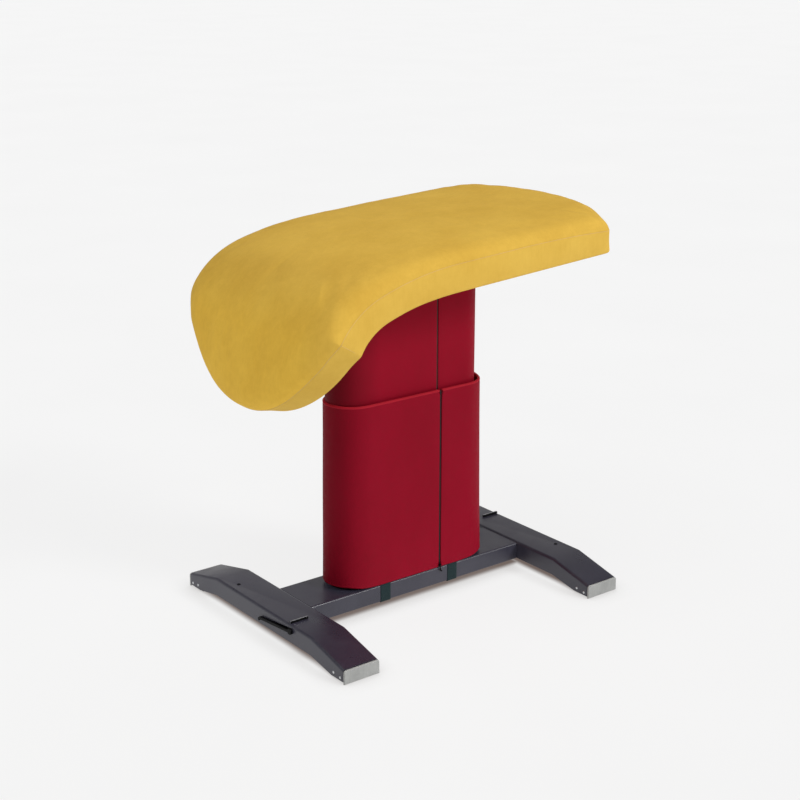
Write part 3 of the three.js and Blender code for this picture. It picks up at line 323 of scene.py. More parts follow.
finishes = {
    "cover": suede("napped_yellow_cover", (0.725, 0.455, 0.074, 1), (0.64, 0.383, 0.056, 1)),
    "cover_band": suede("napped_yellow_band", (0.74, 0.476, 0.084, 1), (0.675, 0.415, 0.066, 1), 1.0),
    "cover_thread": suede("cover_thread", (0.73, 0.50, 0.17, 1), (0.65, 0.43, 0.13, 1), 1.0),
    # The two sleeve cloths differ mostly in how much painted shade darkens their front end
    "sleeve_cloth": leathercloth("red_sleeve_cloth", (0.272, 0.0025, 0.0165, 1), (0.235, 0.002, 0.013, 1),
                                 front_shade=0.86),
    "sleeve_upper": leathercloth("red_upper_cloth", (0.275, 0.0025, 0.0165, 1), (0.238, 0.002, 0.013, 1),
                                 front_shade=0.5),
    # Painted highlight: a brighter red for the lower sleeve's rolled hem
    "sleeve_hem": leathercloth("red_hem_painted_highlight", (0.40, 0.013, 0.028, 1), (0.35, 0.010, 0.022, 1)),
    "zip": moulded("zip_tape", paint(52, 40, 38), paint(70, 58, 54), 0.7),
    # Painted shade: a nearly black copy of the zip tape for the lower zip's slit
    "zip_shaded": moulded("zip_tape_painted_shade", paint(16, 12, 14), paint(28, 22, 24), 0.7),
    "webbing": woven("dark_teal_webbing", paint(2, 28, 31), paint(10, 44, 47)),
    "frame_paint": coated_steel("grey_powder_coat", paint(45, 44, 57), paint(55, 54, 66), 0.3),
    "black_paint": coated_steel("black_enamel", paint(3, 3, 5), paint(9, 9, 12), 0.5, 0.1),
    "cap_plastic": moulded("light_grey_cap", paint(164, 165, 163), paint(147, 148, 146),
                           stain=paint(112, 86, 58)),
    "rubber": moulded("black_rubber", paint(26, 26, 27), paint(42, 42, 43), 0.75),
    "zinc": plated_steel("zinc_plate", (0.60, 0.61, 0.62, 1), (0.46, 0.47, 0.49, 1), 0.34),
    "bright_steel": plated_steel("ground_steel", (0.66, 0.67, 0.68, 1), (0.55, 0.56, 0.58, 1), 0.2),
    "guide_plastic": moulded("guide_nylon", paint(196, 196, 188), paint(214, 214, 208), 0.42),
    "shell_wood": plywood("shell_plywood", paint(205, 170, 122), paint(176, 136, 88)),
    "roller_plastic": moulded("roller_nylon", paint(120, 122, 124), paint(142, 144, 146), 0.4),
}
for solid in frame["nodes"].values():
    for entry in solid.material_slots:
        entry.material = finishes[entry.material.name]


# Making of pieces

def placed(name, data):
    """A new object in the scene."""
    made = bpy.data.objects.new(name, data)
    bpy.context.scene.collection.objects.link(made)
    return made


def finished(name, mesh, slot, body, nodes=(), finish=None, smooth=40.0):
    """Puts a mesh that lies in the model's place on its body, with its finish."""
    made = placed(name, mesh)
    if not mesh.materials:
        mesh.materials.append(finishes[finish or slot])
    mesh.shade_smooth()
    mesh.set_sharp_from_angle(angle=math.radians(smooth))
    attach(made, body)
    if nodes:
        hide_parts(*nodes)
    return made


def to_mesh(name, bm):
    """Moves a drawing in millimetres to the model's place as a mesh."""
    bmesh.ops.transform(bm, matrix=TO_MODEL, verts=bm.verts)
    bmesh.ops.recalc_face_normals(bm, faces=bm.faces)
    mesh = bpy.data.meshes.new(name)
    bm.to_mesh(mesh)
    bm.free()
    return mesh


def piece(name, bm, slot, body, nodes=(), finish=None, smooth=40.0):
    return finished(name, to_mesh(name, bm), slot, body, nodes, finish, smooth)


def baked(made):
    """Applies a piece's modifiers to its mesh."""
    layer = bpy.context.evaluated_depsgraph_get()
    mesh = bpy.data.meshes.new_from_object(made.evaluated_get(layer))
    made.modifiers.clear()
    made.data = mesh


def soft_edges(bm, width, over):
    """Rounds every edge that turns by more degrees than a limit."""
    sharp = [edge for edge in bm.edges
             if len(edge.link_faces) == 2 and edge.calc_face_angle(0.0) > math.radians(over)]
    bmesh.ops.bevel(bm, geom=sharp, offset=width, segments=2, affect="EDGES", profile=0.5,
                    material=-1, clamp_overlap=True)


def loop_of(bm, points):
    """A closed line of edges through points."""
    verts = [bm.verts.new(point) for point in points]
    return [bm.edges.new(pair) for pair in zip(verts, verts[1:] + verts[:1])]


def pulled_out(bm, edges):
    """Extrudes a line of edges, and returns the new vertices and the edges between them."""
    made = bmesh.ops.extrude_edge_only(bm, edges=edges)["geom"]
    verts = [entry for entry in made if isinstance(entry, bmesh.types.BMVert)]
    fresh = set(verts)
    between = [edge for edge in made if isinstance(edge, bmesh.types.BMEdge) and set(edge.verts) <= fresh]
    return verts, between


def finer(made):
    """Divides a soft piece's faces once more and keeps the result."""
    divide = made.modifiers.new("finer", "SUBSURF")
    divide.levels = divide.render_levels = 1
    baked(made)


def in_drawing(x):
    """A model length along the table in metres, in millimetres from the column's middle."""
    return (x - column_place) / MM


def copy_of(node):
    """A merged copy of a solid, drawn in millimetres."""
    bm = bmesh.new()
    bm.from_mesh(frame["nodes"][node].data)
    bmesh.ops.transform(bm, matrix=TO_DRAWING, verts=bm.verts)
    bmesh.ops.remove_doubles(bm, verts=bm.verts, dist=0.01)
    bmesh.ops.dissolve_limit(bm, angle_limit=math.radians(0.6), verts=bm.verts, edges=bm.edges)
    return bm


def block(bm, low, high):
    """A box between two corners."""
    made = bmesh.ops.create_cube(bm, size=1.0)["verts"]
    size = [b - a for a, b in zip(low, high)]
    middle = [(a + b) / 2 for a, b in zip(low, high)]
    bmesh.ops.scale(bm, vec=size, verts=made)
    bmesh.ops.translate(bm, vec=middle, verts=made)


def tube_mesh(name, points, radius, roundness, closed=False):
    """A round bead along a line of points in millimetres, with more sides the rounder it is."""
    curve = bpy.data.curves.new(name, "CURVE")
    curve.dimensions = "3D"
    curve.bevel_depth = radius * MM
    curve.bevel_resolution = roundness
    curve.use_fill_caps = not closed
    line = curve.splines.new("POLY")
    line.points.add(len(points) - 1)
    for entry, point in zip(line.points, points):
        entry.co = (*(TO_MODEL @ Vector(point)), 1.0)
    line.use_cyclic_u = closed
    carrier = placed(name, curve)
    layer = bpy.context.evaluated_depsgraph_get()
    mesh = bpy.data.meshes.new_from_object(carrier.evaluated_get(layer))
    mesh.name = name
    mesh.materials.clear()
    bpy.data.objects.remove(carrier)
    return mesh


# Table top

UNDERSIDE_HEIGHT = 1127.0
TOP_SLOPE = math.radians(3.8)
HALF_WIDTH = 404.0
BEND_START = 94.0
# Each bend of the underside: its radius, and the slope at which the next one takes over
BENDS = ((936.0, math.radians(20.2)), (195.0, math.radians(74.7)), (2620.0, None))
# Plan outline: a bulging back edge with round corners, straight sides and a flap with a blunt tip
BACK_EDGE, BACK_BULGE, BACK_CORNER = 525.0, 131.0, 35.0
FLAP_START, FLAP_PULL, FLAP_ANGLE = 496.0, 187.0, math.radians(43.5)
FLAP_TIP, TIP_PULL = 743.0, 180.0
SEAM_HEIGHT, SEAM_DROP, SEAM_DROP_START, SEAM_DROP_LENGTH = 84.0, 17.5, 150.0, 400.0
RIM_INSET, RIM_RISE, CROWN_RISE, BACK_RISE = 75.0, 47.0, 15.0, 14.0
HEM_WIDTH, SHELL_ROOM, BAND_SINK = 14.0, 19.0, 1.2
# The band runs between these heights over the hem and under the seam
BAND_START, BAND_ENDS = 7.0, 12.0
# How far the outline's corners are softened, and the longest step and turn between its points
CORNER_REACH, LOOP_STEP, LOOP_TURN = 9, 9.0, math.radians(11)
# The hem turned under the edge and the groove along the seam: how far in, and how high
HEM_PROFILE = ((14.0, 19.0), (13.6, 18.2), (13.6, 3.0), (12.4, 0.9), (7.0, 0.2), (3.2, 0.9), (0.9, 3.2),
               (0.0, 7.0))
SEAM_GROOVE = ((0.0, -5.0), (0.2, -2.6), (1.5, -0.2), (0.6, 2.0))
SEAM_BULGE, SETTLING = 2.6, 1.7
RIM_INSETS = (1.0, 2.6, 5.0, 8.4, 12.6, 17.8, 24.0, 31.0, 39.0, 48.0, 58.0, 69.0, 81.0)
# What the foam adds to its even thickness along the table, and how far the hem is pulled under and out
REACHES = (-600.0, -500.0, -400.0, -300.0, 160.0, 260.0, 370.0, 420.0, 460.0, 500.0, 560.0, 660.0, 720.0)
FOAM_RISE = (0.0, 0.0, -5.0, -9.0, -9.0, -4.0, 1.0, 4.0, 5.0, 1.0, 0.0, 0.0, 0.0)
HEM_DROP = (4.0, 4.0, 4.0, 4.0, 4.0, 0.0, 0.0, 0.0, 0.0, 0.0, 9.0, 9.0, 0.0)
HEM_FLARE = (0.0, 0.0, 0.0, 0.0, 0.0, 0.0, 0.0, 0.0, 0.0, 0.0, 8.0, 8.0, 0.0)


def underside(reach):
    """Place and slope of the shell's underside at reaches from over the column, positive to the front."""
    reach = np.asarray(reach, float)
    start = BEND_START
    straight = np.minimum(reach, start)
    x = -straight * math.cos(TOP_SLOPE)
    z = UNDERSIDE_HEIGHT - straight * math.sin(TOP_SLOPE)
    slope = np.full_like(reach, TOP_SLOPE)
    begin = TOP_SLOPE
    for radius, end in BENDS:
        length = (end - begin) * radius if end else 1e6
        turned = slope + np.clip(reach - start, 0, length) / radius
        x = x - radius * (np.sin(turned) - np.sin(slope))
        z = z + radius * (np.cos(turned) - np.cos(slope))
        slope = turned
        start, begin = start + length, end
    return x, z, slope


def on_top(reach, side, height):
    """Points in the table top from their reach, side and height over the underside."""
    x, z, slope = underside(reach)
    side = np.broadcast_to(side, x.shape)
    return np.stack([x - np.sin(slope) * height, side, z + np.cos(slope) * height], axis=-1)


def from_top(points):
    """Reach and height of points that lie on the outer side of the bend."""
    reach = np.interp(-points[:, 0], [-600, 100, 700], [-600, 100, 560])
    for _ in range(40):
        x, z, slope = underside(reach)
        missing = -(points[:, 0] - x) * np.cos(slope) - (points[:, 2] - z) * np.sin(slope)
        reach = reach + missing * 0.6
    height = -(points[:, 0] - x) * np.sin(slope) + (points[:, 2] - z) * np.cos(slope)
    return reach, height


def outline_of_top():
    """Half of the plan outline from the back tip to the flap's tip, as reaches and half widths."""
    radius = (HALF_WIDTH ** 2 + BACK_BULGE ** 2) / (2 * BACK_BULGE)
    centre = -(BACK_EDGE + BACK_BULGE) + radius
    corner_side = HALF_WIDTH - BACK_CORNER
    corner_reach = centre - math.sqrt((radius - BACK_CORNER) ** 2 - corner_side ** 2)
    turn = math.atan2(corner_side, centre - corner_reach)
    arc = [(centre - radius * math.cos(t), radius * math.sin(t)) for t in np.linspace(0, turn, 260)]
    fillet = [(corner_reach - BACK_CORNER * math.cos(t), corner_side + BACK_CORNER * math.sin(t))
              for t in np.linspace(turn, math.pi / 2, 40)[1:]]
    sides = [(r, HALF_WIDTH) for r in np.linspace(corner_reach, FLAP_START, 520)[1:]]
    pulled = (FLAP_START + FLAP_PULL * math.cos(FLAP_ANGLE), HALF_WIDTH - FLAP_PULL * math.sin(FLAP_ANGLE))
    ends = ((FLAP_START, HALF_WIDTH), pulled, (FLAP_TIP, TIP_PULL), (FLAP_TIP, 0.0))
    flap = []
    for t in np.linspace(0, 1, 320)[1:]:
        shares = ((1 - t) ** 3, 3 * t * (1 - t) ** 2, 3 * t * t * (1 - t), t ** 3)
        flap.append(tuple(sum(s * p[k] for s, p in zip(shares, ends)) for k in (0, 1)))
    return np.array(arc + fillet + sides + flap)


OUTLINE = outline_of_top()
edge_finder = kdtree.KDTree(len(OUTLINE))
for number, (reach, side) in enumerate(OUTLINE):
    edge_finder.insert((reach, side, 0), number)
edge_finder.balance()


def from_edge(reach, side):
    """Distance from the plan outline."""
    return np.array([edge_finder.find((r, abs(s), 0))[2] for r, s in zip(reach, side)])


def seam_height(reach):
    """Height of the seam over the underside, which drops towards the back edge."""
    share = np.clip((-np.asarray(reach) - SEAM_DROP_START) / SEAM_DROP_LENGTH, 0, 1)
    return SEAM_HEIGHT - SEAM_DROP * share ** 2


def eased(value, start, end):
    """A smooth step from 0 at the start to 1 at the end."""
    share = np.clip((np.asarray(value) - start) / (end - start), 0, 1)
    return share * share * (3 - 2 * share)


def along(reach, values):
    """A value given along the table, run smoothly between its places."""
    shifts = range(-45, 46, 15)
    steps = [np.interp(np.asarray(reach) + shift, REACHES, values) for shift in shifts]
    return sum(steps) / len(steps)


def rounded_inset(points):
    """Distance from the outline, averaged over a small circle so that the rim turns softly at a corner."""
    inset = from_edge(points[:, 0], points[:, 1])
    total = inset.copy()
    width = np.minimum(inset * 0.75, 40.0)
    for turn in np.linspace(0, 2 * math.pi, 12, endpoint=False):
        total += from_edge(points[:, 0] + width * math.cos(turn), points[:, 1] + width * math.sin(turn))
    return total / 13


def top_height(reach, side, inset):
    """Height of the pad's top over the underside: a rounded rim and a low crown."""
    rim = np.minimum(inset / RIM_INSET, 1)
    crown = np.clip((inset - RIM_INSET) / (HALF_WIDTH - RIM_INSET), 0, None)
    full = np.sqrt(1 - (1 - rim) ** 2)
    back = BACK_RISE * eased(-reach, 400.0, 570.0) * eased(-np.abs(side), -395.0, -255.0)
    rise = RIM_RISE + along(reach, FOAM_RISE) + back
    return seam_height(reach) + rise * full + CROWN_RISE * (1 - (1 - crown) ** 2)


def smooth_outline():
    """The whole plan outline as a closed loop with softened corners, and the way inwards at each point."""
    lengths = np.concatenate([[0], np.cumsum(np.hypot(*np.diff(OUTLINE, axis=0).T))])
    even = np.arange(0, lengths[-1], 1.0)
    half = np.stack([np.interp(even, lengths, OUTLINE[:, k]) for k in (0, 1)], 1)
    loop = np.concatenate([half, half[1:][::-1] * [1, -1]])
    window = 2 * CORNER_REACH
    weights = np.exp(-0.5 * (np.arange(-window, window + 1) / (CORNER_REACH * 0.55)) ** 2)
    weights /= weights.sum()
    for k in (0, 1):
        around = np.concatenate([loop[-window:, k], loop[:, k], loop[:window, k]])
        loop[:, k] = np.convolve(around, weights, "valid")
    run = np.roll(loop, -1, 0) - np.roll(loop, 1, 0)
    turn = np.unwrap(np.arctan2(run[:, 1], run[:, 0]))
    bend = np.abs(np.gradient(turn))
    pace = np.cumsum(1 / LOOP_STEP + bend / LOOP_TURN)
    count = int(pace[-1])
    at = np.interp(np.arange(count), pace, np.arange(len(loop)))
    points = np.stack([np.interp(at, np.arange(len(loop)), loop[:, k]) for k in (0, 1)], 1)
    run = np.roll(points, -1, 0) - np.roll(points, 1, 0)
    run /= np.linalg.norm(run, axis=1, keepdims=True)
    return points, np.stack([run[:, 1], -run[:, 0]], 1)


LOOP, INWARDS = smooth_outline()
spine_reach = np.interp(LOOP[:, 0], [OUTLINE[0, 0], OUTLINE[-1, 0]], [-250.0, 400.0])
SPINE = np.stack([spine_reach, np.zeros(len(LOOP))], 1)
SQUARE_INSET = 14.0


def ring(inset):
    """The outline drawn in: square to the edge at first, and further in towards the spine of the pad."""
    points = LOOP + INWARDS * np.minimum(inset, SQUARE_INSET)
    if np.max(inset) > SQUARE_INSET:
        way = SPINE - points
        far = np.linalg.norm(way, axis=1, keepdims=True)
        points = points + way * np.minimum(1, (inset - SQUARE_INSET) / far)
    return points


def inner_ring(share):
    """A ring on the underside, a share of the way from the hem to the spine."""
    points = ring(HEM_WIDTH)
    return points + (SPINE - points) * share


def edge_ring(inset, share):
    """A ring near the edge, pulled out by a share of the hem's flare."""
    flare = along(LOOP[:, 0], HEM_FLARE) * share
    return LOOP + INWARDS * (inset - flare)[:, None]


def uneven(points):
    """The soft hollows and rises that stuffing leaves in a cover."""
    wide = [noise.noise(Vector((x / 75.0, y / 75.0, 0))) * 0.9 for x, y in points]
    small = [noise.noise(Vector((x / 26.0, y / 26.0, 3))) * 0.3 for x, y in points]
    return np.array(wide) + np.array(small)


def pad_rings(raised):
    """Rings from the middle of the underside round the hem, band, seam and rim to the middle of the top."""
    rings = [(inner_ring(share), np.full(len(LOOP), SHELL_ROOM), True)
             for share in (1.0, 0.8, 0.6, 0.4, 0.2, 0.06)]
    drop = along(LOOP[:, 0], HEM_DROP)
    for inset, height in HEM_PROFILE:
        rings.append((edge_ring(inset, 1 - inset / HEM_WIDTH), height - drop * (height < SHELL_ROOM), True))
    seam = seam_height(LOOP[:, 0])
    for number in range(1, 8):
        share = number / 8
        sink = BAND_SINK * math.sin(math.pi * share)
        height = BAND_START - drop * (1 - share) + (seam - BAND_ENDS) * share
        rings.append((edge_ring(sink, 1 - share), height, False))
    rings += [(ring(inset), seam + rise, True) for inset, rise in SEAM_GROOVE]
    rim = [ring(inset) for inset in RIM_INSETS]
    crown = [rim[-1] + (SPINE - rim[-1]) * number / 24 for number in range(1, 25)]
    for points in rim + crown:
        inset = rounded_inset(points)
        soft = (uneven(points) + raised) * np.clip((inset - 1) / 20.0, 0, 1)
        rings.append((points, top_height(points[:, 0], points[:, 1], inset) + SEAM_BULGE + soft, False))
    return rings


def pad_blank(rings):
    """The closed pad before it is stuffed: a loop extruded ring by ring and closed along both spines."""
    bm = bmesh.new()
    held = bm.verts.layers.float.new("held")
    points, height, fixed = rings[0]
    edges = loop_of(bm, on_top(points[:, 0], points[:, 1], height))
    for vertex in bm.verts:
        vertex[held] = float(fixed)
    for points, height, fixed in rings[1:]:
        verts, edges = pulled_out(bm, edges)
        for vertex, point in zip(verts, on_top(points[:, 0], points[:, 1], height)):
            vertex.co = point
            vertex[held] = float(fixed)
    bmesh.ops.remove_doubles(bm, verts=bm.verts, dist=0.2)
    return bm


def coordinates(mesh):
    """A mesh's points, one in each row."""
    place = np.empty(len(mesh.vertices) * 3)
    mesh.vertices.foreach_get("co", place)
    return place.reshape(-1, 3)


# How a cover behaves while it is blown up
STUFFING = {"quality": 5, "mass": 0.3, "tension_stiffness": 15, "compression_stiffness": 15,
            "shear_stiffness": 5, "bending_stiffness": 4, "use_pressure": True,
            "uniform_pressure_force": 4.0, "vertex_group_mass": "held"}


def stuffed(made, held, cap, frames):
    """Swells a soft piece with a cloth simulation; held vertices stay, and no point moves past the cap."""
    start = coordinates(made.data)
    group = made.vertex_groups.new(name="held")
    group.add(np.nonzero(held > 0.5)[0].tolist(), 1.0, "REPLACE")
    cloth = made.modifiers.new("stuffing", "CLOTH")
    for setting, value in STUFFING.items():
        setattr(cloth.settings, setting, value)
    cloth.settings.effector_weights.gravity = 0
    cloth.collision_settings.use_collision = False
    scene = bpy.context.scene
    for number in range(1, frames + 1):
        scene.frame_set(number)
    layer = bpy.context.evaluated_depsgraph_get()
    step = coordinates(made.evaluated_get(layer).to_mesh()) - start
    made.evaluated_get(layer).to_mesh_clear()
    made.modifiers.remove(cloth)
    made.vertex_groups.remove(group)
    scene.frame_set(1)
    far = np.linalg.norm(step, axis=1, keepdims=True)
    step *= np.minimum(1, cap * MM / np.maximum(far, 1e-9))
    made.data.vertices.foreach_set("co", (start + step).ravel())
    made.data.update()


def drawing_points(mesh):
    """A mesh's points in millimetres over the column."""
    place = coordinates(mesh) / MM
    place[:, 0] -= column_place / MM
    return place


def set_drawing_points(mesh, place):
    """Moves a mesh's points to places in millimetres over the column."""
    place = place.copy()
    place[:, 0] += column_place / MM
    mesh.vertices.foreach_set("co", (place * MM).ravel())
    mesh.update()


def make_pad():
    """The stuffed pad with its cover; the simulation flattens it a little, so it is drawn higher before."""
    raised = SETTLING
    mesh = to_mesh("table_pad_cover", pad_blank(pad_rings(raised)))
    held = np.empty(len(mesh.vertices))
    mesh.attributes["held"].data.foreach_get("value", held)
    mesh.attributes.remove(mesh.attributes["held"])
    made = finished("table_pad_cover", mesh, "cover", "head", ["table_pad"])
    stuffed(made, held, 3.0, 20)
    finer(made)
    made.data.materials.append(finishes["cover_band"])
    centres = np.array([p.center for p in made.data.polygons]) / MM
    centres[:, 0] -= column_place / MM
    face_reach, face_height = from_top(centres)
    made.data.polygons.foreach_set("material_index", (face_height < seam_height(face_reach)).astype(int))
    made.data.shade_smooth()


def make_seam(name, line, radius, closed=False):
    """A bead of sewing thread and pinched cloth along a line on the cover."""
    bead = tube_mesh(name, line, radius, 1, closed)
    finished(name, bead, "cover", "head", finish="cover_thread", smooth=80)


def make_flap_seam(name, side):
    """The upright seam in the band where the side turns into the flap."""
    reach, count = FLAP_START - 2.0, 9
    heights = np.linspace(3.0, seam_height(reach) - 1.0, count)
    shares = (heights - BAND_START) / (SEAM_HEIGHT - BAND_ENDS)
    sink = BAND_SINK * np.sin(math.pi * np.clip(shares, 0, 1)) + np.where(heights < BAND_START, 1.0, 0.0)
    make_seam(name, on_top(np.full(count, reach), side * (HALF_WIDTH - 1.2 - sink), heights), 1.0)


make_pad()
seam_place = ring(0.9)
make_seam("pad_seam", on_top(seam_place[:, 0], seam_place[:, 1], seam_height(LOOP[:, 0]) - 0.4), 1.1, True)
make_flap_seam("pad_flap_seam_left", 1)
make_flap_seam("pad_flap_seam_right", -1)


# Sleeves

# Each slit's middle and width; the sleeves' walls, which are straight as far as this from the middle
SLITS = {"lower": (87.0, 8.0), "upper": (85.0, 6.0)}
LOWER_SLEEVE = {"straight": 206.0, "radius": 94.0, "wall": 9.0, "bottom": 84.6, "top": 711.0, "lip": 5.2}
UPPER_SLEEVE = {"straight": 211.0, "radius": 76.4, "wall": 12.0, "bottom": 545.0, "top": 1125.0, "lip": 6.6}
WALL_STEP = 12.0


def sleeve_profile(bm, start, radius, wall, bottom, top, lip):
    """One upright cut through a sleeve's wall at the slit: a closed loop with a rolled hem at both ends."""
    middle = -(radius - wall / 2)
    half = wall / 2
    neck = lip * 2 + 3
    count = round((top - bottom - 2 * neck) / WALL_STEP)
    levels = [bottom + neck + (top - bottom - 2 * neck) * k / count for k in range(count + 1)]
    turns = [math.radians(a) for a in range(-35, 216, 25)]
    roll = [(middle - lip * math.cos(t), lip * math.sin(t)) for t in turns]
    loop = [(middle - half, z) for z in levels]
    loop += [(y, top - lip + rise) for y, rise in roll]
    loop += [(middle + half, z) for z in reversed(levels)]
    loop += [(y, bottom + lip - rise) for y, rise in reversed(roll)]
    return loop_of(bm, [(start, y, z) for y, z in loop])


def swept_sleeve(slit, straight, radius, **wall_sizes):
    """Sweeps the wall's cut round the column: along the straight sides and round the two ends."""
    bm = bmesh.new()
    start, end = slit[0] + slit[1] / 2, slit[0] - slit[1] / 2
    edges = sleeve_profile(bm, start, radius, **wall_sizes)
    ends = bmesh.ops.contextual_create(bm, geom=edges)["faces"]
    # Each stretch is a run along the table or a half turn about a centre
    for run, centre in ((straight - start, None), (None, straight), (-2 * straight, None), (None, -straight),
                        (straight + end, None)):
        if centre is None:
            steps = max(1, round(abs(run) / WALL_STEP))
            settings = {"cent": (0, 0, 0), "dvec": (run / steps, 0, 0), "angle": 0.0}
        else:
            steps = round(math.pi * radius / WALL_STEP)
            settings = {"cent": (centre, 0, 0), "dvec": (0, 0, 0), "angle": math.pi}
        result = bmesh.ops.spin(bm, geom=edges, axis=(0, 0, 1), steps=steps, use_merge=False,
                                use_duplicate=False, **settings)
        edges = [entry for entry in result["geom_last"] if isinstance(entry, bmesh.types.BMEdge)]
    ends += bmesh.ops.contextual_create(bm, geom=edges)["faces"]
    crease = bm.edges.layers.float.new("crease_edge")
    for face in ends:
        for edge in face.edges:
            edge[crease] = 0.9
    return bm


def make_sleeve(node, sizes, finish):
    """A padded sleeve, swelled between its hems, its slit and its lining."""
    slit = SLITS[node[:5]]
    bm = swept_sleeve(slit, **sizes)
    made = piece(node + "_cover", bm, "sleeve_cloth", BODY_OF[node], [node], finish, smooth=60)
    place = drawing_points(made.data)
    held = np.zeros(len(place))
    arm = np.hypot(np.maximum(np.abs(place[:, 0]) - sizes["straight"], 0), place[:, 1])
    hem = 2 * sizes["lip"] + 4
    held[arm < sizes["radius"] - sizes["wall"] / 2] = 1.0
    held[(place[:, 2] < sizes["bottom"] + hem) | (place[:, 2] > sizes["top"] - hem)] = 1.0
    held[(np.abs(place[:, 0] - slit[0]) < 12) & (place[:, 1] < 0)] = 1.0
    stuffed(made, held, 1.0, 14)
    return made


def fit_upper_sleeve(made):
    """The upper sleeve's end follows the slope of the shell."""
    place = drawing_points(made.data)
    share = np.clip((place[:, 2] - 900.0) / 225.0, 0, 1)
    place[:, 2] += share * place[:, 0] * math.tan(TOP_SLOPE)
    place[:, 0] += np.interp(place[:, 0], (-240, -110, 110, 240), (-5.0, 0.0, 0.0, -3.0))
    set_drawing_points(made.data, place)


def fit_lower_sleeve(made):
    """The lower sleeve spreads towards its foot, its ends lift off the beam and its far lip stands up."""
    place = drawing_points(made.data)
    x, y, z = place.T.copy()
    fallen = np.clip((LOWER_SLEEVE["top"] - z) / 626.0, 0, 1)
    outer = np.clip((np.abs(x) - 110.0) / 190.0, 0, 1)
    x += np.where(x > 0, 3.0 + 13.0 * fallen, 3.5 - 11.0 * fallen) * outer
    lifted = np.clip((np.abs(x) - 150.0) / 120.0, 0, 1) ** 2 * np.clip(1 - (z - 84.0) / 150.0, 0, 1)
    z += np.where(x < 0, 11.0, 8.0) * lifted
    z += 9.0 * eased(z, 600.0, 700.0) * eased(x, 100.0, 250.0) * eased(y, -40.0, 50.0)
    set_drawing_points(made.data, np.stack([x, y, z], 1))


def make_hem_shade_band():
    """A black band inside the hem rests on the beam: painted shade in the gap where the sleeve's ends lift
    off it.
    """
    radius, bottom, height, wall, count = 84.0, 84.6, 16.0, 2.0, 72
    bm = bmesh.new()
    line = []
    for turn in np.linspace(0, 2 * math.pi, count + 1)[:-1]:
        middle = 200.0 if math.cos(turn) > 0 else -206.0
        line.append((middle + radius * math.cos(turn), radius * math.sin(turn), bottom))
    raised, _ = pulled_out(bm, loop_of(bm, line))
    bmesh.ops.translate(bm, vec=(0, 0, height), verts=raised)
    bmesh.ops.recalc_face_normals(bm, faces=bm.faces)
    bmesh.ops.solidify(bm, geom=bm.faces[:], thickness=wall)
    piece("hem_shade_band", bm, "zip", BODY_OF["lower_sleeve"], finish="black_paint", smooth=50)


def cut_lever_window(made):
    """Opens the upper sleeve's far side where the release lever passes through it."""
    bm = bmesh.new()
    block(bm, (-23, 0, 1043), (23, 120, 1200))
    cutter = placed("lever_window", to_mesh("lever_window", bm))
    window = made.modifiers.new("window", "BOOLEAN")
    window.operation = "DIFFERENCE"
    window.solver = "EXACT"
    window.object = cutter
    baked(made)
    bpy.data.objects.remove(cutter)
    made.data.shade_smooth()
    made.data.set_sharp_from_angle(angle=math.radians(60))


lower_sleeve = make_sleeve("lower_sleeve", LOWER_SLEEVE, "sleeve_cloth")
upper_sleeve = make_sleeve("upper_sleeve", UPPER_SLEEVE, "sleeve_upper")
fit_upper_sleeve(upper_sleeve)
fit_lower_sleeve(lower_sleeve)
for sleeve in (lower_sleeve, upper_sleeve):
    finer(sleeve)
    sleeve.data.shade_smooth()

# The rolled hem at the lower sleeve's mouth gets a painted highlight: a brighter red copy of the cloth
lower_sleeve.data.materials.append(finishes["sleeve_hem"])
heights = np.array([p.center.z for p in lower_sleeve.data.polygons]) / MM
lower_sleeve.data.polygons.foreach_set("material_index", (heights > LOWER_SLEEVE["top"] - 7.5).astype(int))
make_hem_shade_band()
cut_lever_window(upper_sleeve)


# Zips

TOOTH_PITCH, TOOTH_HEIGHT, TOOTH_HALF, TOOTH_SHIFT = 3.2, 1.9, 1.3, 0.8


def make_zip(node, front, bottom, top, finish):
    """Two tapes that meet in the slit under a row of interlocking teeth."""
    bm = bmesh.new()
    middle, width = SLITS[node[:5]]
    half = width / 2 - 0.3
    block(bm, (middle - half, front, bottom), (middle + half, front + 3.5, top))
    for number in range(int((top - bottom - 6) / TOOTH_PITCH)):
        z = bottom + 3 + number * TOOTH_PITCH
        tooth = middle + (TOOTH_SHIFT if number % 2 else -TOOTH_SHIFT)
        low = (tooth - TOOTH_HALF, front - 1.4, z)
        block(bm, low, (tooth + TOOTH_HALF, front + 0.4, z + TOOTH_HEIGHT))
    piece(node + "_teeth", bm, "zip", BODY_OF[node], [node], finish, smooth=30)


# The lower zip gets the nearly black tape, painted shade in its slit
make_zip("lower_zip", -91.0, 85.0, 706.0, "zip_shaded")
make_zip("upper_zip", -73.0, 550.0, 1118.0, "zip")


def make_zip_slider():
    """The slider at the foot of the lower zip, with a cord pull that hangs over the hem and bends aside."""
    low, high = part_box("zip_slider")
    middle = SLITS["lower"][0] - 1.0
    bottom, top, front = low.z / MM, high.z / MM, low.y / MM
    bm = bmesh.new()
    block(bm, (middle - 2.6, front + 1.8, top - 14.0), (middle + 2.6, high.y / MM, top))
    block(bm, (middle - 1.2, front, top - 9.0), (middle + 1.2, front + 2.4, top - 3.0))
    soft_edges(bm, 0.5, 40)
    body = BODY_OF["zip_slider"]
    piece("zip_slider_body", bm, "zip", body, ["zip_slider"], "black_paint")
    hang = [(0.0, bottom + 2.0), (0.6, bottom - 3.0), (2.6, bottom - 7.0), (6.6, bottom - 9.5)]
    line = [(middle + aside, front - 1.8, z) for aside, z in [(0.0, top - 6.0)] + hang]
    finished("zip_pull", tube_mesh("zip_pull", line, 2.5, 2), "zip", body, finish="black_paint")


make_zip_slider()


# Straps

STRAP_WIDTH, STRAP_SIDE, STRAP_FOLD, STRAP_THICKNESS, STRAP_PARTS = 40.0, 94.6, 5.0, 1.9, 8


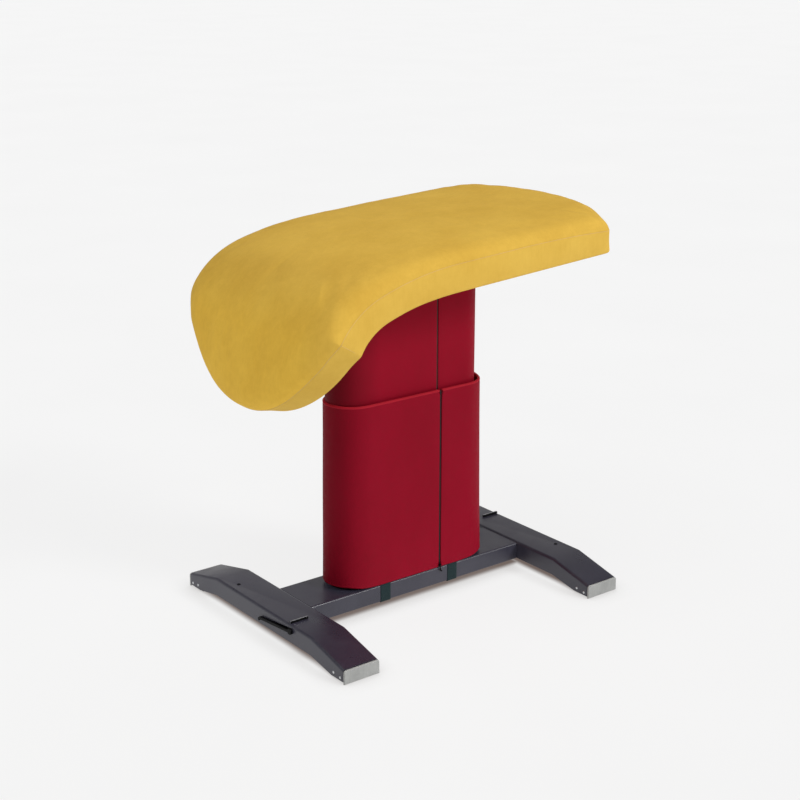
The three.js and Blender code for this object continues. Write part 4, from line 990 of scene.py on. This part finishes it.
def make_strap(node, middle):
    """A webbing strap with rounded folds that passes under the beam."""
    low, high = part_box(node)
    bm = bmesh.new()
    side, corner = STRAP_SIDE, STRAP_FOLD
    top, bottom = high.z / MM, low.z / MM + 1.3
    turns = [math.radians(a) for a in range(0, 91, 15)]
    path = [(-side, top - k * (top - bottom - corner) / 5) for k in range(5)]
    path += [(-side + corner - corner * math.cos(t), bottom + corner - corner * math.sin(t)) for t in turns]
    path += [(0.0, bottom)] + [(-y, z) for y, z in reversed(path)]
    verts = [bm.verts.new((middle - STRAP_WIDTH / 2, y, z)) for y, z in path]
    edges = [bm.edges.new(pair) for pair in zip(verts, verts[1:])]
    for _ in range(STRAP_PARTS):
        moved, edges = pulled_out(bm, edges)
        bmesh.ops.translate(bm, vec=(STRAP_WIDTH / STRAP_PARTS, 0, 0), verts=moved)
    bmesh.ops.recalc_face_normals(bm, faces=bm.faces)
    bmesh.ops.solidify(bm, geom=bm.faces[:], thickness=STRAP_THICKNESS)
    soft_edges(bm, 0.6, 60)
    piece(node + "_webbing", bm, "webbing", BODY_OF[node], [node], smooth=50)


make_strap("strap_front", -141.0)
make_strap("strap_rear", 141.0)


# Rigid pieces with softened edges

ENDS = ("front", "rear")
CORNERS = [f"{end}_{side}" for end in ENDS for side in ("left", "right")]
SHARP_OVER, BOARD_SHARP_OVER = 34, 40
SOFTENED = [(f"{end}_foot_beam", "frame_paint", 0.7) for end in ENDS]
SOFTENED += [("centre_beam", "frame_paint", 2.0)]
SOFTENED += [(node, "frame_paint", 0.8)
             for node in ("post_base_plate", "head_plate", "front_packer", "rear_packer")]
SOFTENED += [("lever_bracket", "frame_paint", 0.6), ("release_lever", "black_paint", 0.9)]
SOFTENED += [("lever_grip", "rubber", 1.2), ("table_shell", "shell_wood", 0.8)]
SOFTENED += [(f"end_cap_{corner}", "cap_plastic", 0.7) for corner in CORNERS]
SOFTENED += [(f"rubber_foot_{corner}", "rubber", 0.6) for corner in CORNERS]
SOFTENED += [(f"roller_bracket_{end}", "frame_paint", 0.6) for end in ENDS]
SOFTENED += [(f"transport_lever_{end}", "black_paint", 0.9) for end in ENDS]
SOFTENED += [(f"roller_crank_{end}", "zinc", 0.5) for end in ENDS]
SOFTENED += [(f"roller_{end}", "roller_plastic", 1.0) for end in ENDS]
for node, slot, width in SOFTENED:
    bm = copy_of(node)
    soft_edges(bm, width, BOARD_SHARP_OVER if slot == "shell_wood" else SHARP_OVER)
    made = piece(node + "_finished", bm, slot, BODY_OF[node], [node], smooth=SHARP_OVER)
    weigh = made.modifiers.new("flat_faces_first", "WEIGHTED_NORMAL")
    weigh.keep_sharp = True

RIVET_RADIUS, RIVET_RISE = 4.6, 2.2
# Each rivet's distance back from the tip of the foot and its height over the floor
RIVET_PLACES = ((23.0, 17.0), (57.0, 21.0))
PLUG_PLACE, PLUG_OFFSET = 190.0, 30.0
# Each round part of the plug: its radius, its depth and the height of its middle over the foot's top
PLUG_PARTS = ((4.6, 4.0, -2.0), (6.4, 0.9, 0.45))
SHADE_DEPTH, SHADE_BACK_DEPTH, LIP_THICKNESS = 2.4, 1.2, 4.0


def make_rivets(end):
    """Domed rivet heads on both walls of a foot, near its two tips."""
    low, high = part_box(f"{end}_foot_beam")
    middle = in_drawing((low.x + high.x) / 2)
    half = (high.x - low.x) / 2 / MM
    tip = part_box(f"end_cap_{end}_left")
    reach = max(abs(tip[0].y), abs(tip[1].y)) / MM
    bm = bmesh.new()
    for back, height in RIVET_PLACES:
        for tip_side, wall_side in ((-1, -1), (-1, 1), (1, -1), (1, 1)):
            verts = bmesh.ops.create_uvsphere(bm, u_segments=16, v_segments=10, radius=RIVET_RADIUS)["verts"]
            bmesh.ops.scale(bm, vec=(RIVET_RISE / RIVET_RADIUS, 1, 1), verts=verts)
            place = (middle + wall_side * (half - 0.2), tip_side * (reach - back), height)
            bmesh.ops.translate(bm, vec=place, verts=verts)
    piece(f"{end}_foot_rivets", bm, "zinc", BODY_OF[f"{end}_foot_beam"], smooth=60)


def make_anchor_hole_shade(end, turn):
    """A black plug with a low flange in the anchor hole in the top of a foot: painted shade where the hole
    looks dark.
    """
    low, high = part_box(f"{end}_foot_beam")
    middle = in_drawing((low.x + high.x) / 2)
    bm = bmesh.new()
    for radius, depth, rise in PLUG_PARTS:
        made = bmesh.ops.create_cone(bm, cap_ends=True, segments=24, radius1=radius, radius2=radius - 0.3,
                                     depth=depth)
        place = (middle - PLUG_OFFSET * turn, PLUG_PLACE * turn, high.z / MM + rise)
        bmesh.ops.translate(bm, vec=place, verts=made["verts"])
    piece(f"{end}_anchor_hole_shade", bm, "rubber", BODY_OF[f"{end}_foot_beam"], finish="black_paint")


def make_lip_shade_and_highlight(end, turn):
    """Painted shade as black sheets on both faces of the raised bracket lip, and a painted highlight as a
    bright zinc line along its top.
    """
    low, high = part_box(f"roller_bracket_{end}")
    foot_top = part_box(f"{end}_foot_beam")[1].z / MM
    start, finish = in_drawing(low.x), in_drawing(high.x)
    top = high.z / MM
    outer = (high.y if turn > 0 else low.y) / MM
    inner = outer - LIP_THICKNESS * turn
    body = BODY_OF[f"roller_bracket_{end}"]
    bm = bmesh.new()
    for face, depth in ((outer, SHADE_DEPTH * turn), (inner, -SHADE_BACK_DEPTH * turn)):
        low_side, high_side = sorted((face, face + depth))
        block(bm, (start, low_side, foot_top + 0.3), (finish, high_side, top - 0.8))
    soft_edges(bm, 0.4, 40)
    piece(f"{end}_lip_painted_shade", bm, "rubber", body, finish="black_paint")
    # Painted highlight along the lip's top
    bm = bmesh.new()
    low_side, high_side = sorted((outer - 0.4 * turn, inner + 0.4 * turn))
    block(bm, (start + 0.6, low_side, top - 0.2), (finish - 0.6, high_side, top + 0.25))
    piece(f"{end}_lip_painted_highlight", bm, "zinc", body)


for end, turn in zip(ENDS, (1, -1)):
    make_rivets(end)
    make_anchor_hole_shade(end, turn)
    make_lip_shade_and_highlight(end, turn)


# Studio

FLOOR_RADIUS = 90.0
# Painted contact shade: the floor darkens this near to a piece, as far as this share
CONTACT_REACH, CONTACT_SHADE = 0.08, 0.66
# Painted shadow under upright blocks over the feet and the beam, in metres: the middle, half the length and
# half the width
SHADING_BLOCKS = ((-0.502, 0.0595, 0.4), (0.0, 0.46, 0.082), (0.4985, 0.0585, 0.4))
FADE_IN, FADE_OUT = -0.022, 0.012
PAINTED_SHADOW_TONE, OPEN_TONE = (0.18, 0.132, 0.113, 1), (1.0, 1.0, 1.0, 1)
FLOOR_BRIGHTNESS = 0.80


def outside_block(f, middle, half, long_half):
    """How far a place on the floor lies outside an upright block, less than nothing when it is under it."""
    reach = []
    for axis, centre, extent in (("X", middle, half), ("Y", 0.0, long_half)):
        offset = f.maths("SUBTRACT", f.axis(axis), centre)
        reach.append(f.maths("SUBTRACT", f.maths("ABSOLUTE", offset), extent))
    return f.maths("MAXIMUM", *reach)


def floor_material():
    """A pale floor that glows evenly, with a painted shadow under the beam and the arched feet and painted
    contact shade near every piece.
    """
    f = Finish("studio_floor", roughness=0.9, Specular_IOR_Level=0.1)
    closeness = f.node("ShaderNodeAmbientOcclusion", samples=6)
    closeness.inputs["Distance"].default_value = CONTACT_REACH
    near_share = f.range(closeness.outputs["AO"], 0.42, 0.9, CONTACT_SHADE, 1.0)
    under = None
    for sizes in SHADING_BLOCKS:
        away = outside_block(f, *sizes)
        under = away if under is None else f.maths("MINIMUM", under, away)
    painted_shadow_share = f.node("ShaderNodeMapRange", interpolation_type="SMOOTHSTEP")
    for socket, value in zip(painted_shadow_share.inputs, (under, FADE_IN, FADE_OUT)):
        f.put(socket, value)
    shade = f.mix(f.times(painted_shadow_share.outputs[0], near_share), PAINTED_SHADOW_TONE, OPEN_TONE)
    grey = f.range(f.clouds(0.8), CLOUD_LOW, CLOUD_HIGH, 0.985, 1.0)
    f.shader.inputs["Base Color"].default_value = (0.12, 0.12, 0.12, 1)
    f.put(f.shader.inputs["Emission Color"], f.mix(1.0, shade, grey, "MULTIPLY"))
    f.shader.inputs["Emission Strength"].default_value = FLOOR_BRIGHTNESS
    return f.material


def make_floor():
    mesh = bpy.data.meshes.new("studio_floor")
    bm = bmesh.new()
    bmesh.ops.create_circle(bm, cap_ends=True, segments=96, radius=FLOOR_RADIUS)
    bm.to_mesh(mesh)
    bm.free()
    mesh.materials.append(floor_material())
    placed("studio_floor", mesh)


ROOM_LIGHT, ROOM_MIRRORED, ROOM_SEEN = 0.13, 0.62, 0.9
# Heights in the room between which the mirrored backdrop fades into the dim room
BACKDROP_TOP, ROOM_START = 0.30, 0.62


def make_room():
    """A dim room, in which what is seen or mirrored low over the floor is a pale backdrop."""
    world = bpy.data.worlds.new("studio_light")
    bpy.context.scene.world = world
    world.use_nodes = True
    nodes, links = world.node_tree.nodes, world.node_tree.links
    backdrop = nodes["Background"]
    backdrop.inputs["Color"].default_value = (1.0, 0.99, 0.98, 1)
    direction = nodes.new("ShaderNodeSeparateXYZ")
    links.new(nodes.new("ShaderNodeTexCoord").outputs["Generated"], direction.inputs[0])
    mirrored = nodes.new("ShaderNodeMapRange")
    links.new(direction.outputs["Z"], mirrored.inputs[0])
    for number, value in enumerate((BACKDROP_TOP, ROOM_START, ROOM_MIRRORED, ROOM_LIGHT), 1):
        mirrored.inputs[number].default_value = value
    ray = nodes.new("ShaderNodeLightPath")
    glossy, plain = nodes.new("ShaderNodeMix"), nodes.new("ShaderNodeMix")
    links.new(ray.outputs["Is Glossy Ray"], glossy.inputs[0])
    glossy.inputs[2].default_value = ROOM_LIGHT
    links.new(mirrored.outputs[0], glossy.inputs[3])
    links.new(ray.outputs["Is Camera Ray"], plain.inputs[0])
    links.new(glossy.outputs[0], plain.inputs[2])
    plain.inputs[3].default_value = ROOM_SEEN
    links.new(plain.outputs[0], backdrop.inputs["Strength"])


def lamp(name, energy, angle, azimuth, elevation, shadow=True):
    """A wide soft source; the azimuth is where the light comes from, seen from above."""
    data = bpy.data.lights.new(name, "SUN")
    data.energy = energy
    data.angle = math.radians(angle)
    data.use_shadow = shadow
    made = placed(name, data)
    around, up = math.radians(azimuth), math.radians(elevation)
    towards = Vector((math.cos(around) * math.cos(up), math.sin(around) * math.cos(up), math.sin(up)))
    made.rotation_euler = towards.to_track_quat("Z", "Y").to_euler()


PICTURE_WIDTH, FOCAL_LENGTH, SENSOR_WIDTH = 800.0, 1526.2, 36.0
CAMERA_PLACE, LOOKS_DOWN, LOOKS_ASIDE = (-2.9166, -3.784, 2.15), 17.25, 37.46


def make_camera():
    """The photograph's camera; its focal length is given in pixels of the picture."""
    data = bpy.data.cameras.new("camera")
    data.sensor_width = SENSOR_WIDTH
    data.lens = FOCAL_LENGTH * SENSOR_WIDTH / PICTURE_WIDTH
    camera = placed("camera", data)
    camera.location = CAMERA_PLACE
    camera.rotation_euler = (math.radians(90 - LOOKS_DOWN), 0, math.radians(-LOOKS_ASIDE))
    bpy.context.scene.camera = camera


make_floor()
make_room()
lamp("key_light", 0.64, 22, -62, 64, shadow=False)
lamp("low_light", 1.64, 16, -62, 30)
lamp("front_light", 1.24, 60, -165, 62)
make_camera()
bpy.context.scene.view_settings.view_transform = "Standard"
